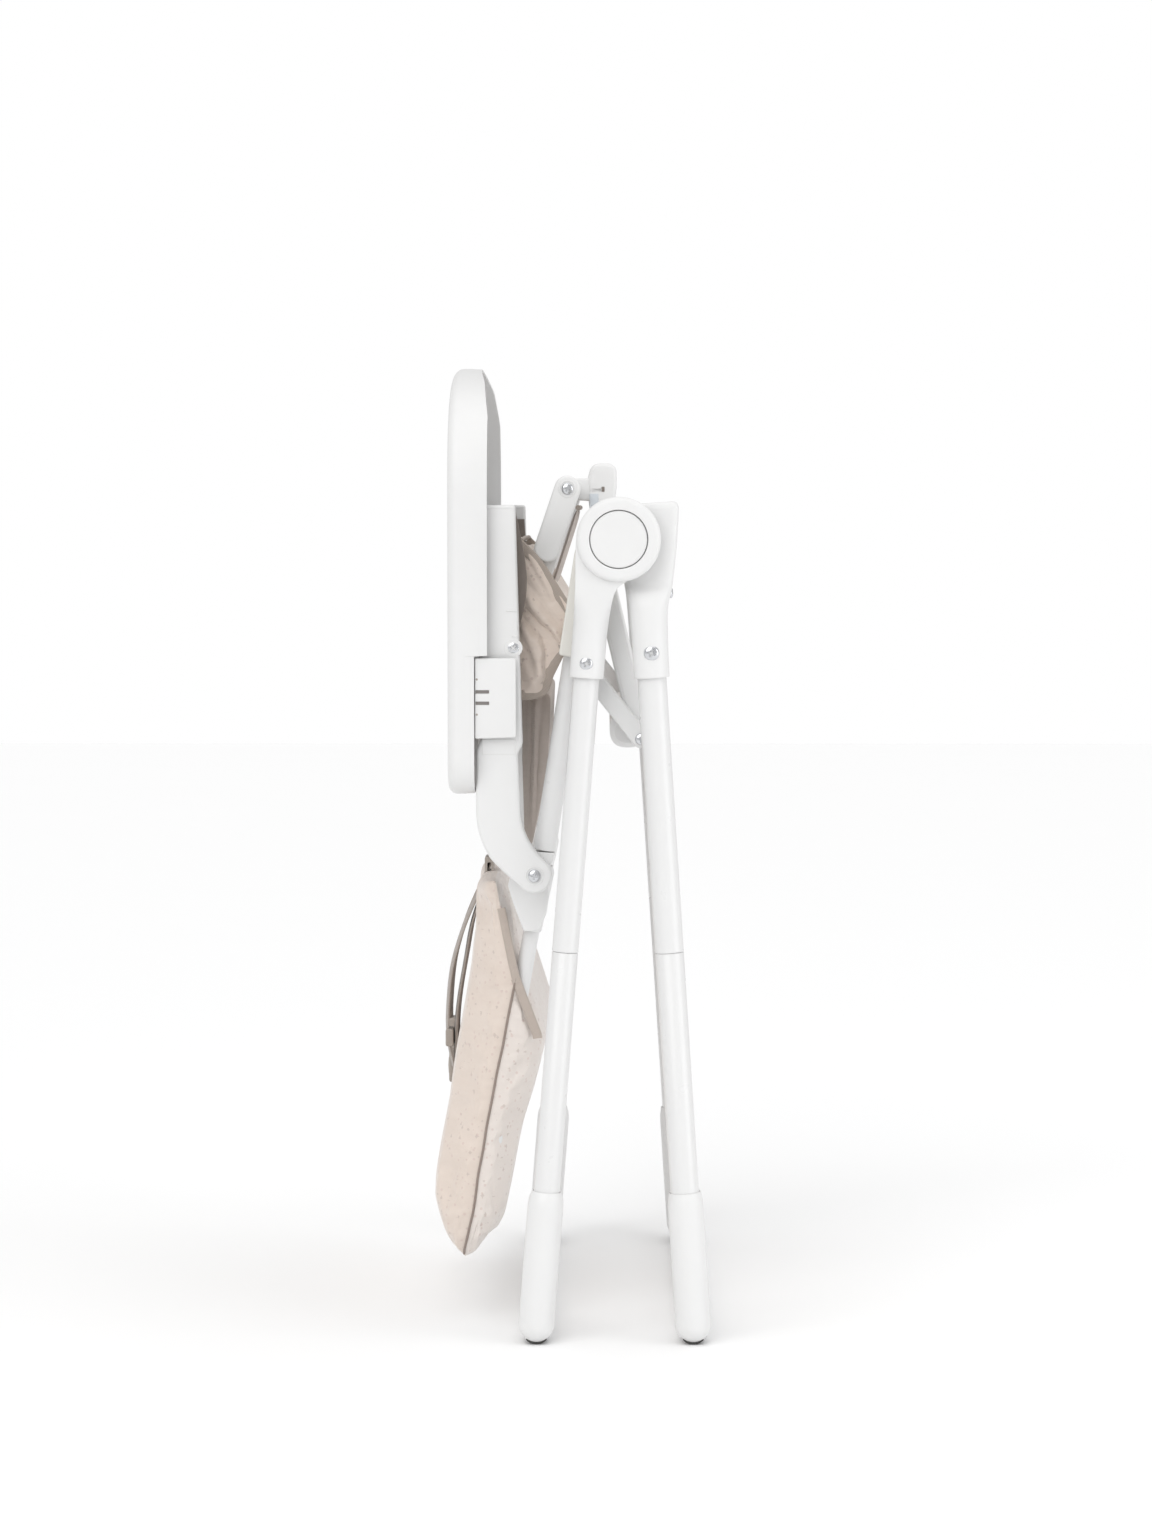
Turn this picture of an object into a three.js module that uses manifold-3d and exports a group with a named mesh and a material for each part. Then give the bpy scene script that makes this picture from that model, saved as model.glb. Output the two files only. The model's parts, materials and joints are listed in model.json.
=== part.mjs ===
// A folding high chair for a baby, modelled folded flat and standing on its feet.
// Millimetres, +Z up, +X towards the front of the chair, -Y is the chair's right-hand side.
// The origin lies on the floor, under the middle of the folded chair.
import * as THREE from "three";
import { mergeVertices } from "three/addons/utils/BufferGeometryUtils.js";
import Module from "manifold-3d";

const wasm = await Module();
wasm.setup();

// ---------------------------------------------------------------- driving dimensions

const GAP = 0.3;
const SIDES = { right: -1, left: 1 };

const HUB = { x: 43.3, z: 780.2 };
const SEAT_PIVOT = { x: -38.1, z: 453.8 };
const CALF_PIVOT = { x: -58.4, z: 675.0 };
const FOOTREST_PIVOT = { x: -6.5, z: 828.7 };
const LINK_TOP = { x: 21.7, z: 771.6 };
const LINK_MIDDLE = { x: 65.2, z: 587.1 };
const LINK_FOOT = { x: 10.2, z: 656.7 };

const LEG_Y = 262;
const FLOOR_TO_BAR = 19;
const REAR_LEG = { tilt: 4.4, offset: -20.6, radius: 12.7, reach: 765.0, sleeve: 16.5 };
const FRONT_LEG = { tilt: -3.74, offset: 23.3, radius: 14.0, reach: 764.3, sleeve: 17.0 };
const TUBE_WALL = 1.5;
const LEG_SEAM = 400;
const SPIGOT = 34;
const SLEEVE_END = 133;
const FOOT_TOP = 634;
const FOOT_RADIUS = 17.4;

const HUB_RADIUS = 40.6;
const REAR_HUB_LAYER = [266, 290];
const FRONT_HUB_LAYER = [241, 265.6];
const RAIL_HUB_LAYER = [216, 240.6];
const AXLE_RADIUS = 5;
const BUTTON_RADIUS = 27.4;

const RAIL_Y = 204;
const RAIL_RADIUS = 10.9;
const RAIL_TILT = 8.8;
const RAIL_LOW = { x: -29.0, z: 474.0 };

const ARM_LAYER = [216, 236.5];
const LINK_LAYER = [217, 240.2];
const UPPER_LINK_LAYER = [203, 215.6];
const BACK_EYE_LAYER = [178, 191.6];
const CALF_LAYER = [172, 188];
const PIN_RADIUS = 4;

const TRAY = { half: 250, face: -121.7, rim: -90.9, skirt: -83.2, rear: 532, front: 933, bow: 19, wall: 3 };
const BACK_TUBE = { y: 170, radius: 8, tilt: 10, top: { x: -37.5, z: 420 }, length: 326 };

// ---------------------------------------------------------------- finishes

const finish = (color, roughness, metalness) =>
  new THREE.MeshStandardMaterial({ color, roughness, metalness });

const FINISH = {
  enamel: finish(0xf2f2f0, 0.35, 0.1),
  plastic: finish(0xf4f4f3, 0.45, 0.0),
  steel: finish(0xb9bcc0, 0.25, 1.0),
  rubber: finish(0x3b3a38, 0.85, 0.0),
  satin: finish(0xdacdc3, 0.6, 0.0),
  lining: finish(0x5b524c, 0.9, 0.0),
  webbing: finish(0x8a7f77, 0.8, 0.0),
  buckle: finish(0x6f6660, 0.5, 0.0),
};

const chair = new THREE.Group();

// ---------------------------------------------------------------- shape helpers

const radians = THREE.MathUtils.degToRad;

function addPiece(name, geometry, material, parent = chair) {
  const mesh = new THREE.Mesh(geometry, material);
  mesh.name = name;
  parent.add(mesh);
  return mesh;
}

function toSolid(geometry) {
  const bare = geometry.clone();
  bare.deleteAttribute("normal");
  bare.deleteAttribute("uv");
  const merged = mergeVertices(bare, 1e-4);
  const vertProperties = new Float32Array(merged.attributes.position.array);
  const triVerts = new Uint32Array(merged.index.array);
  return new wasm.Manifold(new wasm.Mesh({ numProp: 3, vertProperties, triVerts }));
}

function toGeometry(solid) {
  const { vertProperties, triVerts } = solid.getMesh();
  const geometry = new THREE.BufferGeometry();
  geometry.setAttribute("position", new THREE.BufferAttribute(new Float32Array(vertProperties), 3));
  geometry.setIndex(new THREE.BufferAttribute(new Uint32Array(triVerts), 1));
  geometry.computeVertexNormals();
  return geometry;
}

function join(...geometries) {
  return toGeometry(geometries.map(toSolid).reduce((whole, next) => whole.add(next)));
}

function cut(geometry, ...tools) {
  return toGeometry(tools.map(toSolid).reduce((whole, tool) => whole.subtract(tool), toSolid(geometry)));
}

// The two Y values of a layer that lies between two distances from the middle of the chair.
function layerY(side, [inner, outer]) {
  return side < 0 ? [-outer, -inner] : [inner, outer];
}

// A flat piece: an outline in X and Z, from one Y to another.
function plate(shape, [low, high], segments = 7) {
  const geometry = new THREE.ExtrudeGeometry(shape, {
    depth: high - low,
    bevelEnabled: false,
    curveSegments: segments,
  });
  geometry.rotateX(Math.PI / 2);
  geometry.translate(0, high, 0);
  return geometry;
}

function outline(points) {
  const shape = new THREE.Shape();
  points.forEach(([x, z], index) => (index ? shape.lineTo(x, z) : shape.moveTo(x, z)));
  shape.closePath();
  return shape;
}

function disc({ x, z }, radius, span, segments = 24) {
  const geometry = new THREE.CylinderGeometry(radius, radius, span[1] - span[0], segments);
  geometry.translate(x, (span[0] + span[1]) / 2, z);
  return geometry;
}

// An upright round bar between two heights, at a place given by X and Y.
function post(x, y, low, high, radius, segments = 20) {
  const geometry = new THREE.CylinderGeometry(radius, radius, high - low, segments);
  geometry.rotateX(Math.PI / 2);
  geometry.translate(x, y, (low + high) / 2);
  return geometry;
}

function block([x0, x1], [y0, y1], [z0, z1]) {
  const geometry = new THREE.BoxGeometry(x1 - x0, y1 - y0, z1 - z0);
  geometry.translate((x0 + x1) / 2, (y0 + y1) / 2, (z0 + z1) / 2);
  return geometry;
}

// A body of revolution about an upright axis, from a closed profile of radius and height.
function turned(x, y, profile, segments = 20) {
  const points = profile.map(([radius, z]) => new THREE.Vector2(radius, z));
  points.push(points[0].clone());
  const geometry = new THREE.LatheGeometry(points, segments);
  geometry.rotateX(Math.PI / 2);
  geometry.translate(x, y, 0);
  return geometry;
}

// A straight bar with round ends between two points of the side view.
function linkShape(from, to, radius, holeRadius) {
  const angle = Math.atan2(to.z - from.z, to.x - from.x);
  const shape = new THREE.Shape();
  shape.absarc(from.x, from.z, radius, angle + Math.PI / 2, angle + (3 * Math.PI) / 2, false);
  shape.absarc(to.x, to.z, radius, angle - Math.PI / 2, angle + Math.PI / 2, false);
  shape.closePath();
  for (const end of [from, to]) {
    const hole = new THREE.Path();
    hole.absarc(end.x, end.z, holeRadius, 0, Math.PI * 2, true);
    shape.holes.push(hole);
  }
  return shape;
}

// A pivot screw: a shank through its layers with a low round head on the outside.
function pivotScrew(side, { x, z }, inner, outer, headRadius = 6.5) {
  const shank = disc({ x, z }, PIN_RADIUS, layerY(side, [inner, outer + 1.5]), 14);
  const head = disc({ x, z }, headRadius, layerY(side, [outer + GAP, outer + 3]), 16);
  return join(shank, head);
}

// ---------------------------------------------------------------- legs

// Each pair of legs is built upright below the hub, in a group that carries its tilt.
function legFrame(leg) {
  const group = new THREE.Group();
  group.position.set(HUB.x, 0, HUB.z);
  group.rotation.y = radians(leg.tilt);
  chair.add(group);
  return group;
}

function upperTube(leg, y) {
  const inner = leg.radius - TUBE_WALL;
  const top = -SLEEVE_END + 70;
  return turned(leg.offset, y, [
    [inner, -LEG_SEAM],
    [leg.radius, -LEG_SEAM],
    [leg.radius, top],
    [inner, top],
  ]);
}

// The lower tube is necked at its top and pushed into the upper one.
function lowerTube(leg, y) {
  const neck = leg.radius - TUBE_WALL - GAP;
  const bore = neck - TUBE_WALL;
  const top = -LEG_SEAM - GAP;
  const bottom = -FOOT_TOP - 90;
  return turned(leg.offset, y, [
    [bore, bottom],
    [leg.radius, bottom],
    [leg.radius, top],
    [neck, top],
    [neck, top + SPIGOT],
    [bore, top + SPIGOT],
  ]);
}

// The foot takes the leg tube from above and the floor bar from the side.
function foot(leg, side) {
  const y = side * LEG_Y;
  const upright = post(leg.offset, y, -leg.reach, -FOOT_TOP, FOOT_RADIUS - 0.6);
  const ball = new THREE.SphereGeometry(FOOT_RADIUS, 20, 12);
  ball.rotateX(Math.PI / 2);
  ball.translate(leg.offset, y, -leg.reach);
  const barEnd = disc({ x: leg.offset, z: -leg.reach }, FOOT_RADIUS - 1.5, layerY(side, [228, LEG_Y]), 14);
  const tubeBore = post(leg.offset, y, -FOOT_TOP - 90 - GAP, -FOOT_TOP + 1, leg.radius + GAP);
  const barBore = disc({ x: leg.offset, z: -leg.reach }, 12 + GAP, layerY(side, [227, 250.3]), 14);
  return cut(join(upright, ball, barEnd), tubeBore, barBore);
}

function floorBar(leg) {
  const tube = disc({ x: leg.offset, z: -leg.reach }, 12, [-250, 250], 14);
  const bore = disc({ x: leg.offset, z: -leg.reach }, 12 - TUBE_WALL, [-251, 251], 14);
  return cut(tube, bore);
}

// A rubber shoe curves round the underside of the bar, with a flat where the folded chair stands.
function floorPad(leg, side) {
  const shape = new THREE.Shape();
  const spread = radians(58);
  const down = -Math.PI / 2;
  shape.absarc(leg.offset, -leg.reach, FLOOR_TO_BAR + 0.4, down - spread, down + spread, false);
  shape.absarc(leg.offset, -leg.reach, FOOT_RADIUS + GAP, down + spread, down - spread, true);
  shape.closePath();
  const floor = block([-150, 150], layerY(side, [200, 300]), [-20, 0]);
  floor.translate(-HUB.x, 0, -HUB.z);
  floor.rotateY(-radians(leg.tilt));
  return cut(plate(shape, layerY(side, [LEG_Y - 24, LEG_Y + 8]), 9), floor);
}

function bothSides(build) {
  for (const [sideName, side] of Object.entries(SIDES)) {
    build(sideName, side);
  }
}

function addLegs(prefix, leg, group) {
  bothSides((sideName, side) => {
    const y = side * LEG_Y;
    addPiece(`${prefix}_leg_upper_${sideName}`, upperTube(leg, y), FINISH.enamel, group);
    addPiece(`${prefix}_leg_lower_${sideName}`, lowerTube(leg, y), FINISH.enamel, group);
    addPiece(`${prefix}_foot_${sideName}`, foot(leg, side), FINISH.plastic, group);
    addPiece(`${prefix}_floor_pad_${sideName}`, floorPad(leg, side), FINISH.rubber, group);
  });
  addPiece(`${prefix}_floor_bar`, floorBar(leg), FINISH.enamel, group);
}

// ---------------------------------------------------------------- hub

// The sleeve that holds the top of a leg tube, closed at its top.
function legSleeve(leg, side, top) {
  const y = side * LEG_Y;
  const wall = post(leg.offset, y, -SLEEVE_END, top, leg.sleeve, 24);
  const bore = post(leg.offset, y, -SLEEVE_END - 1, -SLEEVE_END + 70 + GAP, leg.radius + GAP);
  return { wall, bore };
}

// The rear housing: the outer disc with its button well, and the sleeve of the rear leg.
function rearHub(side) {
  const layer = layerY(side, REAR_HUB_LAYER);
  const origin = { x: 0, z: 0 };
  const face = disc(origin, HUB_RADIUS, layer, 40);
  const { wall, bore } = legSleeve(REAR_LEG, side, -46);
  const left = REAR_LEG.offset - REAR_LEG.sleeve;
  const right = REAR_LEG.offset + REAR_LEG.sleeve;
  const neck = plate(
    outline([
      [left, -100],
      [right, -100],
      [right + 2, -52],
      [16, -36],
      [-10, 0],
      [-HUB_RADIUS + 0.2, -2],
      [left - 0.5, -40],
    ]),
    layerY(side, [REAR_HUB_LAYER[0], 283]),
  );
  const well = disc(origin, BUTTON_RADIUS + 0.5, layerY(side, [278.5, 291]), 32);
  const axleHole = disc(origin, AXLE_RADIUS + GAP, layerY(side, [265, 274]), 16);
  return cut(join(face, wall, neck), bore, well, axleHole);
}

function hubButton(side) {
  const cap = disc({ x: 0, z: 0 }, BUTTON_RADIUS, layerY(side, [283.4, 288.6]), 32);
  return cap;
}

// The front housing turns behind the outer disc and carries the sleeve of the front leg.
function frontHub(side) {
  const origin = { x: 0, z: 0 };
  const middle = disc(origin, HUB_RADIUS - 2, layerY(side, FRONT_HUB_LAYER), 32);
  const { wall, bore } = legSleeve(FRONT_LEG, side, -52);
  const outer = FRONT_LEG.offset + FRONT_LEG.sleeve;
  const cheek = plate(
    outline([
      [FRONT_LEG.offset - FRONT_LEG.sleeve, -90],
      [outer, -90],
      [outer + 1, -50],
      [57, 33],
      [30, 31],
      [0, 20],
      [6, -42],
    ]),
    layerY(side, [FRONT_HUB_LAYER[0], FRONT_HUB_LAYER[1]]),
  );
  const axleHole = disc(origin, AXLE_RADIUS + GAP, layerY(side, [240, 267]), 16);
  return cut(join(middle, wall, cheek), bore, axleHole);
}

function hubAxle(side) {
  return disc({ x: 0, z: 0 }, AXLE_RADIUS, layerY(side, [220, 273]), 16);
}

function addHubs(rearGroup, frontGroup) {
  bothSides((sideName, side) => {
    addPiece(`rear_hub_${sideName}`, rearHub(side), FINISH.plastic, rearGroup);
    addPiece(`hub_button_${sideName}`, hubButton(side), FINISH.plastic, rearGroup);
    addPiece(`hub_axle_${sideName}`, hubAxle(side), FINISH.steel, rearGroup);
    addPiece(`front_hub_${sideName}`, frontHub(side), FINISH.plastic, frontGroup);
  });
}

// ---------------------------------------------------------------- seat rails

// A point on the rail's centre line, at a height.
function railX(z) {
  return RAIL_LOW.x + Math.tan(radians(RAIL_TILT)) * (z - RAIL_LOW.z);
}

function alongRail(geometry, z) {
  geometry.rotateY(radians(RAIL_TILT));
  geometry.translate(railX(z), 0, z);
  return geometry;
}

// The tube runs from the seat pivot up into the rail's sleeve.
function railTube(side) {
  const y = side * RAIL_Y;
  const inner = RAIL_RADIUS - TUBE_WALL;
  const length = 236;
  const tube = turned(0, y, [[inner, 0], [RAIL_RADIUS, 0], [RAIL_RADIUS, length], [inner, length]]);
  return alongRail(tube, RAIL_LOW.z + 2);
}

// The rail's upper end: a disc on the hub, a neck, and a sleeve round the tube.
function railHub(side) {
  const layer = layerY(side, RAIL_HUB_LAYER);
  const face = disc(HUB, HUB_RADIUS - 4, layer, 32);
  const neck = plate(
    outline([
      [railX(760) - 15, 760],
      [railX(668) - 14.5, 668],
      [railX(668) + 14.5, 668],
      [railX(716) + 15, 716],
      [HUB.x - 4, HUB.z - 36],
      [HUB.x, HUB.z],
      [HUB.x - 20, HUB.z + 24],
    ]),
    layer,
  );
  const sleeve = alongRail(block([-14.8, 14.8], layerY(side, [190, 217]), [-24, 21]), 692);
  const bore = alongRail(post(0, side * RAIL_Y, -60, 22, RAIL_RADIUS + GAP), 692);
  const axleHole = disc(HUB, AXLE_RADIUS + GAP, layerY(side, [215, 242]), 16);
  const linkHole = disc(LINK_TOP, PIN_RADIUS + GAP, layerY(side, [215, 236]), 14);
  return cut(join(face, neck, sleeve), bore, axleHole, linkHole);
}

// A plug closes the tube's lower end and carries the eye of the seat pivot.
function railEnd(side) {
  const layer = layerY(side, [193.2, 214.8]);
  const eye = disc(SEAT_PIVOT, 13, layer);
  const web = plate(
    outline([
      [SEAT_PIVOT.x - 11, SEAT_PIVOT.z + 6],
      [SEAT_PIVOT.x + 13, SEAT_PIVOT.z],
      [railX(474) + 10.9, 474],
      [railX(474) - 10.9, 475.5],
    ]),
    layer,
  );
  const spigot = alongRail(post(0, side * RAIL_Y, -3, 24, RAIL_RADIUS - TUBE_WALL - GAP), RAIL_LOW.z + 2);
  const trimmed = cut(web, alongRail(post(0, side * RAIL_Y, -GAP, 30, RAIL_RADIUS + 4), RAIL_LOW.z + 2));
  const hole = disc(SEAT_PIVOT, PIN_RADIUS + GAP, layerY(side, [192, 216]), 14);
  return cut(join(eye, trimmed, spigot), hole);
}

// A cross bar ties the two rails together under the seat.
function railBar() {
  const centre = { x: railX(598), z: 598 };
  const reach = RAIL_Y - RAIL_RADIUS - GAP;
  return cut(disc(centre, 8, [-reach, reach], 24), disc(centre, 6.8, [-reach - 1, reach + 1], 20));
}

function addRails() {
  bothSides((sideName, side) => {
    addPiece(`rail_tube_${sideName}`, railTube(side), FINISH.enamel);
    addPiece(`rail_hub_${sideName}`, railHub(side), FINISH.plastic);
    addPiece(`rail_end_${sideName}`, railEnd(side), FINISH.plastic);
    const pivot = pivotScrew(side, SEAT_PIVOT, BACK_EYE_LAYER[0] + 1, ARM_LAYER[1]);
    addPiece(`seat_pivot_${sideName}`, pivot, FINISH.steel);
  });
  addPiece("rail_cross_bar", railBar(), FINISH.enamel);
}

// ---------------------------------------------------------------- folding links

// The upper link turns on a stub of its own in the rail's disc.
function upperLink(side) {
  const bar = plate(linkShape(LINK_TOP, LINK_MIDDLE, 10, PIN_RADIUS + GAP), layerY(side, UPPER_LINK_LAYER));
  const stub = disc(LINK_TOP, PIN_RADIUS, layerY(side, [UPPER_LINK_LAYER[0] + 1, 235]), 14);
  const filling = disc(LINK_TOP, 8, layerY(side, UPPER_LINK_LAYER), 16);
  return join(bar, filling, stub);
}

// The lower link's end is closed and wears the head of the middle pivot.
function lowerLink(side) {
  const bar = plate(linkShape(LINK_FOOT, LINK_MIDDLE, 9, PIN_RADIUS + GAP), layerY(side, LINK_LAYER));
  const filling = disc(LINK_MIDDLE, 8, layerY(side, LINK_LAYER), 16);
  const head = disc(LINK_MIDDLE, 6, layerY(side, [LINK_LAYER[1] - 1, LINK_LAYER[1] + 2]), 16);
  return join(bar, filling, head);
}

// The handle bar joins the two upper links and is the grip that unlocks the fold.
function foldHandle() {
  const grip = disc({ x: LINK_MIDDLE.x - 12.5, z: LINK_MIDDLE.z + 6.9 }, 18, [GAP - 203, 203 - GAP]);
  const rod = disc(LINK_MIDDLE, PIN_RADIUS, [-215.5, 215.5], 14);
  return join(grip, rod);
}

function addLinks() {
  bothSides((sideName, side) => {
    addPiece(`upper_link_${sideName}`, upperLink(side), FINISH.plastic);
    addPiece(`lower_link_${sideName}`, lowerLink(side), FINISH.plastic);
  });
  addPiece("fold_handle", foldHandle(), FINISH.plastic);
}

// ---------------------------------------------------------------- arms

// The arm rises in a shallow S from the seat pivot into a deep upper rail under the tray.
function armShape() {
  const shape = new THREE.Shape();
  shape.moveTo(-89.9, 813);
  shape.lineTo(-89.9, 590);
  shape.lineTo(-94.6, 572);
  shape.lineTo(-94.6, 516);
  shape.quadraticCurveTo(-94.5, 492, -80.5, 470);
  shape.quadraticCurveTo(-69, 457, SEAT_PIVOT.x - 14, SEAT_PIVOT.z - 10);
  shape.absarc(SEAT_PIVOT.x, SEAT_PIVOT.z, 17.2, Math.PI * 1.2, Math.PI * 2.3, false);
  shape.quadraticCurveTo(-49, 487, -51.4, 514);
  shape.lineTo(-54.1, 571);
  shape.lineTo(-49.6, 583);
  shape.lineTo(-56.5, 813);
  shape.closePath();
  return shape;
}

function arm(side) {
  const body = plate(armShape(), layerY(side, ARM_LAYER), 8);
  const seatHole = disc(SEAT_PIVOT, PIN_RADIUS + GAP, layerY(side, [215, 238]), 14);
  const calfHole = disc(CALF_PIVOT, PIN_RADIUS + GAP, layerY(side, [215, 238]), 14);
  const barHole = disc({ x: -72, z: 776 }, 8 + GAP, layerY(side, [215, 228.3]), 16);
  return cut(body, seatHole, calfHole, barHole);
}

function trayButton(side) {
  const body = block([-95.5, -55.5], layerY(side, [240.6, 246.2]), [587.5, 665.5]);
  const slots = [622, 633].map((z) => block([-94, -82], layerY(side, [244.4, 247]), [z - 1.6, z + 1.6]));
  return cut(body, ...slots);
}

function addArms() {
  bothSides((sideName, side) => {
    addPiece(`arm_${sideName}`, arm(side), FINISH.plastic);
    addPiece(`tray_button_${sideName}`, trayButton(side), FINISH.plastic);
  });
  const bar = disc({ x: -72, z: 776 }, 8, [-228, 228], 16);
  const bore = disc({ x: -72, z: 776 }, 6.6, [-229, 229], 14);
  addPiece("arm_cross_bar", cut(bar, bore), FINISH.enamel);
}

// ---------------------------------------------------------------- tray

// The tray's plan outline, as width against height, moved inwards by a margin.
function trayShape(margin) {
  const half = TRAY.half - margin;
  const rear = TRAY.rear + margin;
  const front = TRAY.front - margin;
  const wing = 150 + margin;
  const shape = new THREE.Shape();
  shape.moveTo(-half, rear + 40);
  shape.quadraticCurveTo(-half, rear, -half + 40, rear);
  shape.lineTo(-wing - 16, rear);
  shape.bezierCurveTo(-wing + 10, rear, -wing + 10, rear + 108, 0, rear + 108);
  shape.bezierCurveTo(wing - 10, rear + 108, wing - 10, rear, wing + 16, rear);
  shape.lineTo(half - 40, rear);
  shape.quadraticCurveTo(half, rear, half, rear + 40);
  shape.lineTo(half, front - 110);
  shape.bezierCurveTo(half, front - 20, half - 70, front + TRAY.bow * 0.75, 0, front + TRAY.bow);
  shape.bezierCurveTo(-half + 70, front + TRAY.bow * 0.75, -half, front - 20, -half, front - 110);
  shape.closePath();
  return shape;
}

// A slab of a plan outline, from one X to another.
function slab(shape, [low, high]) {
  const geometry = new THREE.ExtrudeGeometry(shape, { depth: high - low, bevelEnabled: false, curveSegments: 8 });
  geometry.rotateX(Math.PI / 2);
  geometry.rotateZ(Math.PI / 2);
  geometry.translate(low, 0, 0);
  return geometry;
}

function tray() {
  const shell = slab(trayShape(0), [TRAY.face, TRAY.rim]);
  const hollow = slab(trayShape(TRAY.wall), [TRAY.face + 5.4, TRAY.rim + 1]);
  const well = slab(trayShape(20), [TRAY.face - 1, TRAY.face + 2.6]);
  const skirts = [];
  const runners = [];
  const windows = [];
  bothSides((_, side) => {
    const wallY = layerY(side, [TRAY.half - TRAY.wall, TRAY.half]);
    skirts.push(block([TRAY.rim - 2, TRAY.skirt], wallY, [574, 790]));
    runners.push(block([TRAY.face + 4, -90.6], layerY(side, [219, 233]), [592, 800]));
    windows.push(block([-96.4, TRAY.skirt + 1], layerY(side, [246, 251]), [583, 670]));
    windows.push(block([-98, TRAY.rim + 1], layerY(side, [213, 240]), [TRAY.rear - 1, 560]));
  });
  return cut(join(cut(shell, hollow, well), ...skirts, ...runners), ...windows);
}

// ---------------------------------------------------------------- backrest

function alongBack(geometry) {
  geometry.rotateY(radians(BACK_TUBE.tilt));
  geometry.translate(BACK_TUBE.top.x, 0, BACK_TUBE.top.z);
  return geometry;
}

function backX(z, offset) {
  return BACK_TUBE.top.x - Math.tan(radians(BACK_TUBE.tilt)) * (BACK_TUBE.top.z - z) + offset;
}

// The eye of the seat pivot with a socket for the top of the back tube.
function backBracket(side) {
  const eye = disc(SEAT_PIVOT, 14, layerY(side, BACK_EYE_LAYER));
  const web = plate(
    outline([
      [SEAT_PIVOT.x - 13, SEAT_PIVOT.z - 4],
      [backX(400, -10), 400],
      [backX(400, 10), 400],
      [SEAT_PIVOT.x + 13.5, SEAT_PIVOT.z - 2],
    ]),
    layerY(side, [180, BACK_EYE_LAYER[1]]),
  );
  const socket = alongBack(post(0, side * (BACK_TUBE.y + 9.6), -26, 12, 11.8));
  const bore = alongBack(post(0, side * BACK_TUBE.y, -60, 4, BACK_TUBE.radius + GAP, 16));
  const hole = disc(SEAT_PIVOT, PIN_RADIUS + GAP, layerY(side, [170, 193]), 14);
  const cup = alongBack(post(0, side * BACK_TUBE.y, -26, 10, 11));
  return cut(join(eye, web, socket, cup), bore, hole);
}

// One bent tube makes both sides and the free end of the backrest.
function backFrame() {
  const { y, radius, length } = BACK_TUBE;
  const bend = 46;
  const path = new THREE.CurvePath();
  const corner = (sign) => new THREE.Vector3(sign * y, 0, -length);
  const at = (py, pz) => new THREE.Vector3(py, 0, pz);
  path.add(new THREE.LineCurve3(at(-y, 3), at(-y, bend - length)));
  path.add(new THREE.QuadraticBezierCurve3(at(-y, bend - length), corner(-1), at(bend - y, -length)));
  path.add(new THREE.LineCurve3(at(bend - y, -length), at(y - bend, -length)));
  path.add(new THREE.QuadraticBezierCurve3(at(y - bend, -length), corner(1), at(y, bend - length)));
  path.add(new THREE.LineCurve3(at(y, bend - length), at(y, 3)));
  const ring = new THREE.Shape();
  ring.absarc(0, 0, radius, 0, Math.PI * 2, false);
  const hollow = new THREE.Path();
  hollow.absarc(0, 0, radius - 1.2, 0, Math.PI * 2, true);
  ring.holes.push(hollow);
  const geometry = new THREE.ExtrudeGeometry(ring, {
    steps: 28,
    curveSegments: 4,
    extrudePath: path,
    bevelEnabled: false,
  });
  geometry.rotateZ(Math.PI / 2);
  return alongBack(geometry);
}

function backBar(drop) {
  const reach = BACK_TUBE.y - BACK_TUBE.radius - GAP;
  return alongBack(disc({ x: 0, z: -drop }, 6.5, [-reach, reach], 20));
}

// The padded front of the backrest cover, thick in the middle and rounded at its free end.
function backCushion() {
  const shape = new THREE.Shape();
  shape.moveTo(backX(430, -10), 430);
  shape.lineTo(-75, 444);
  shape.quadraticCurveTo(-90, 420, -95, 370);
  shape.bezierCurveTo(-97, 330, -112, 290, -116.5, 240);
  shape.bezierCurveTo(-120, 190, -133.7, 150, -133.8, 118);
  shape.quadraticCurveTo(-133.7, 76, -111, 66);
  shape.lineTo(backX(74, -10), 74);
  shape.closePath();
  const shoulders = [-1, 1].map((side) => block([-140, 0], layerY(side, [163, 190]), [388, 450]));
  return cut(plate(shape, [-184, 184]), ...shoulders);
}

// The back of the cover hangs behind the tubes.
function backPocket() {
  const shape = new THREE.Shape();
  shape.moveTo(backX(344, 10), 344);
  shape.lineTo(backX(84, 10), 84);
  shape.lineTo(-80, 90);
  shape.bezierCurveTo(-70, 130, -66, 180, -52, 216);
  shape.quadraticCurveTo(-40, 250, -33, 289);
  shape.quadraticCurveTo(-40, 330, backX(344, 16), 344);
  shape.closePath();
  return plate(shape, [-184, 184]);
}

function addBackrest() {
  bothSides((sideName, side) => {
    addPiece(`back_bracket_${sideName}`, backBracket(side), FINISH.plastic);
  });
  addPiece("back_frame", backFrame(), FINISH.enamel);
  addPiece("back_cross_bar", backBar(90), FINISH.enamel);
  addPiece("back_cushion", backCushion(), FINISH.satin);
  addPiece("back_pocket", backPocket(), FINISH.satin);
}

// ---------------------------------------------------------------- calf rest and footrest

// The bar turns on a stub of its own in the arm.
function calfBar(side) {
  const shape = linkShape(CALF_PIVOT, FOOTREST_PIVOT, 13, PIN_RADIUS + GAP);
  const filling = disc(CALF_PIVOT, 8, layerY(side, CALF_LAYER), 16);
  const stub = disc(CALF_PIVOT, PIN_RADIUS, layerY(side, [CALF_LAYER[0] + 1, ARM_LAYER[1]]), 14);
  return join(plate(shape, layerY(side, CALF_LAYER)), filling, stub);
}

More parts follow.
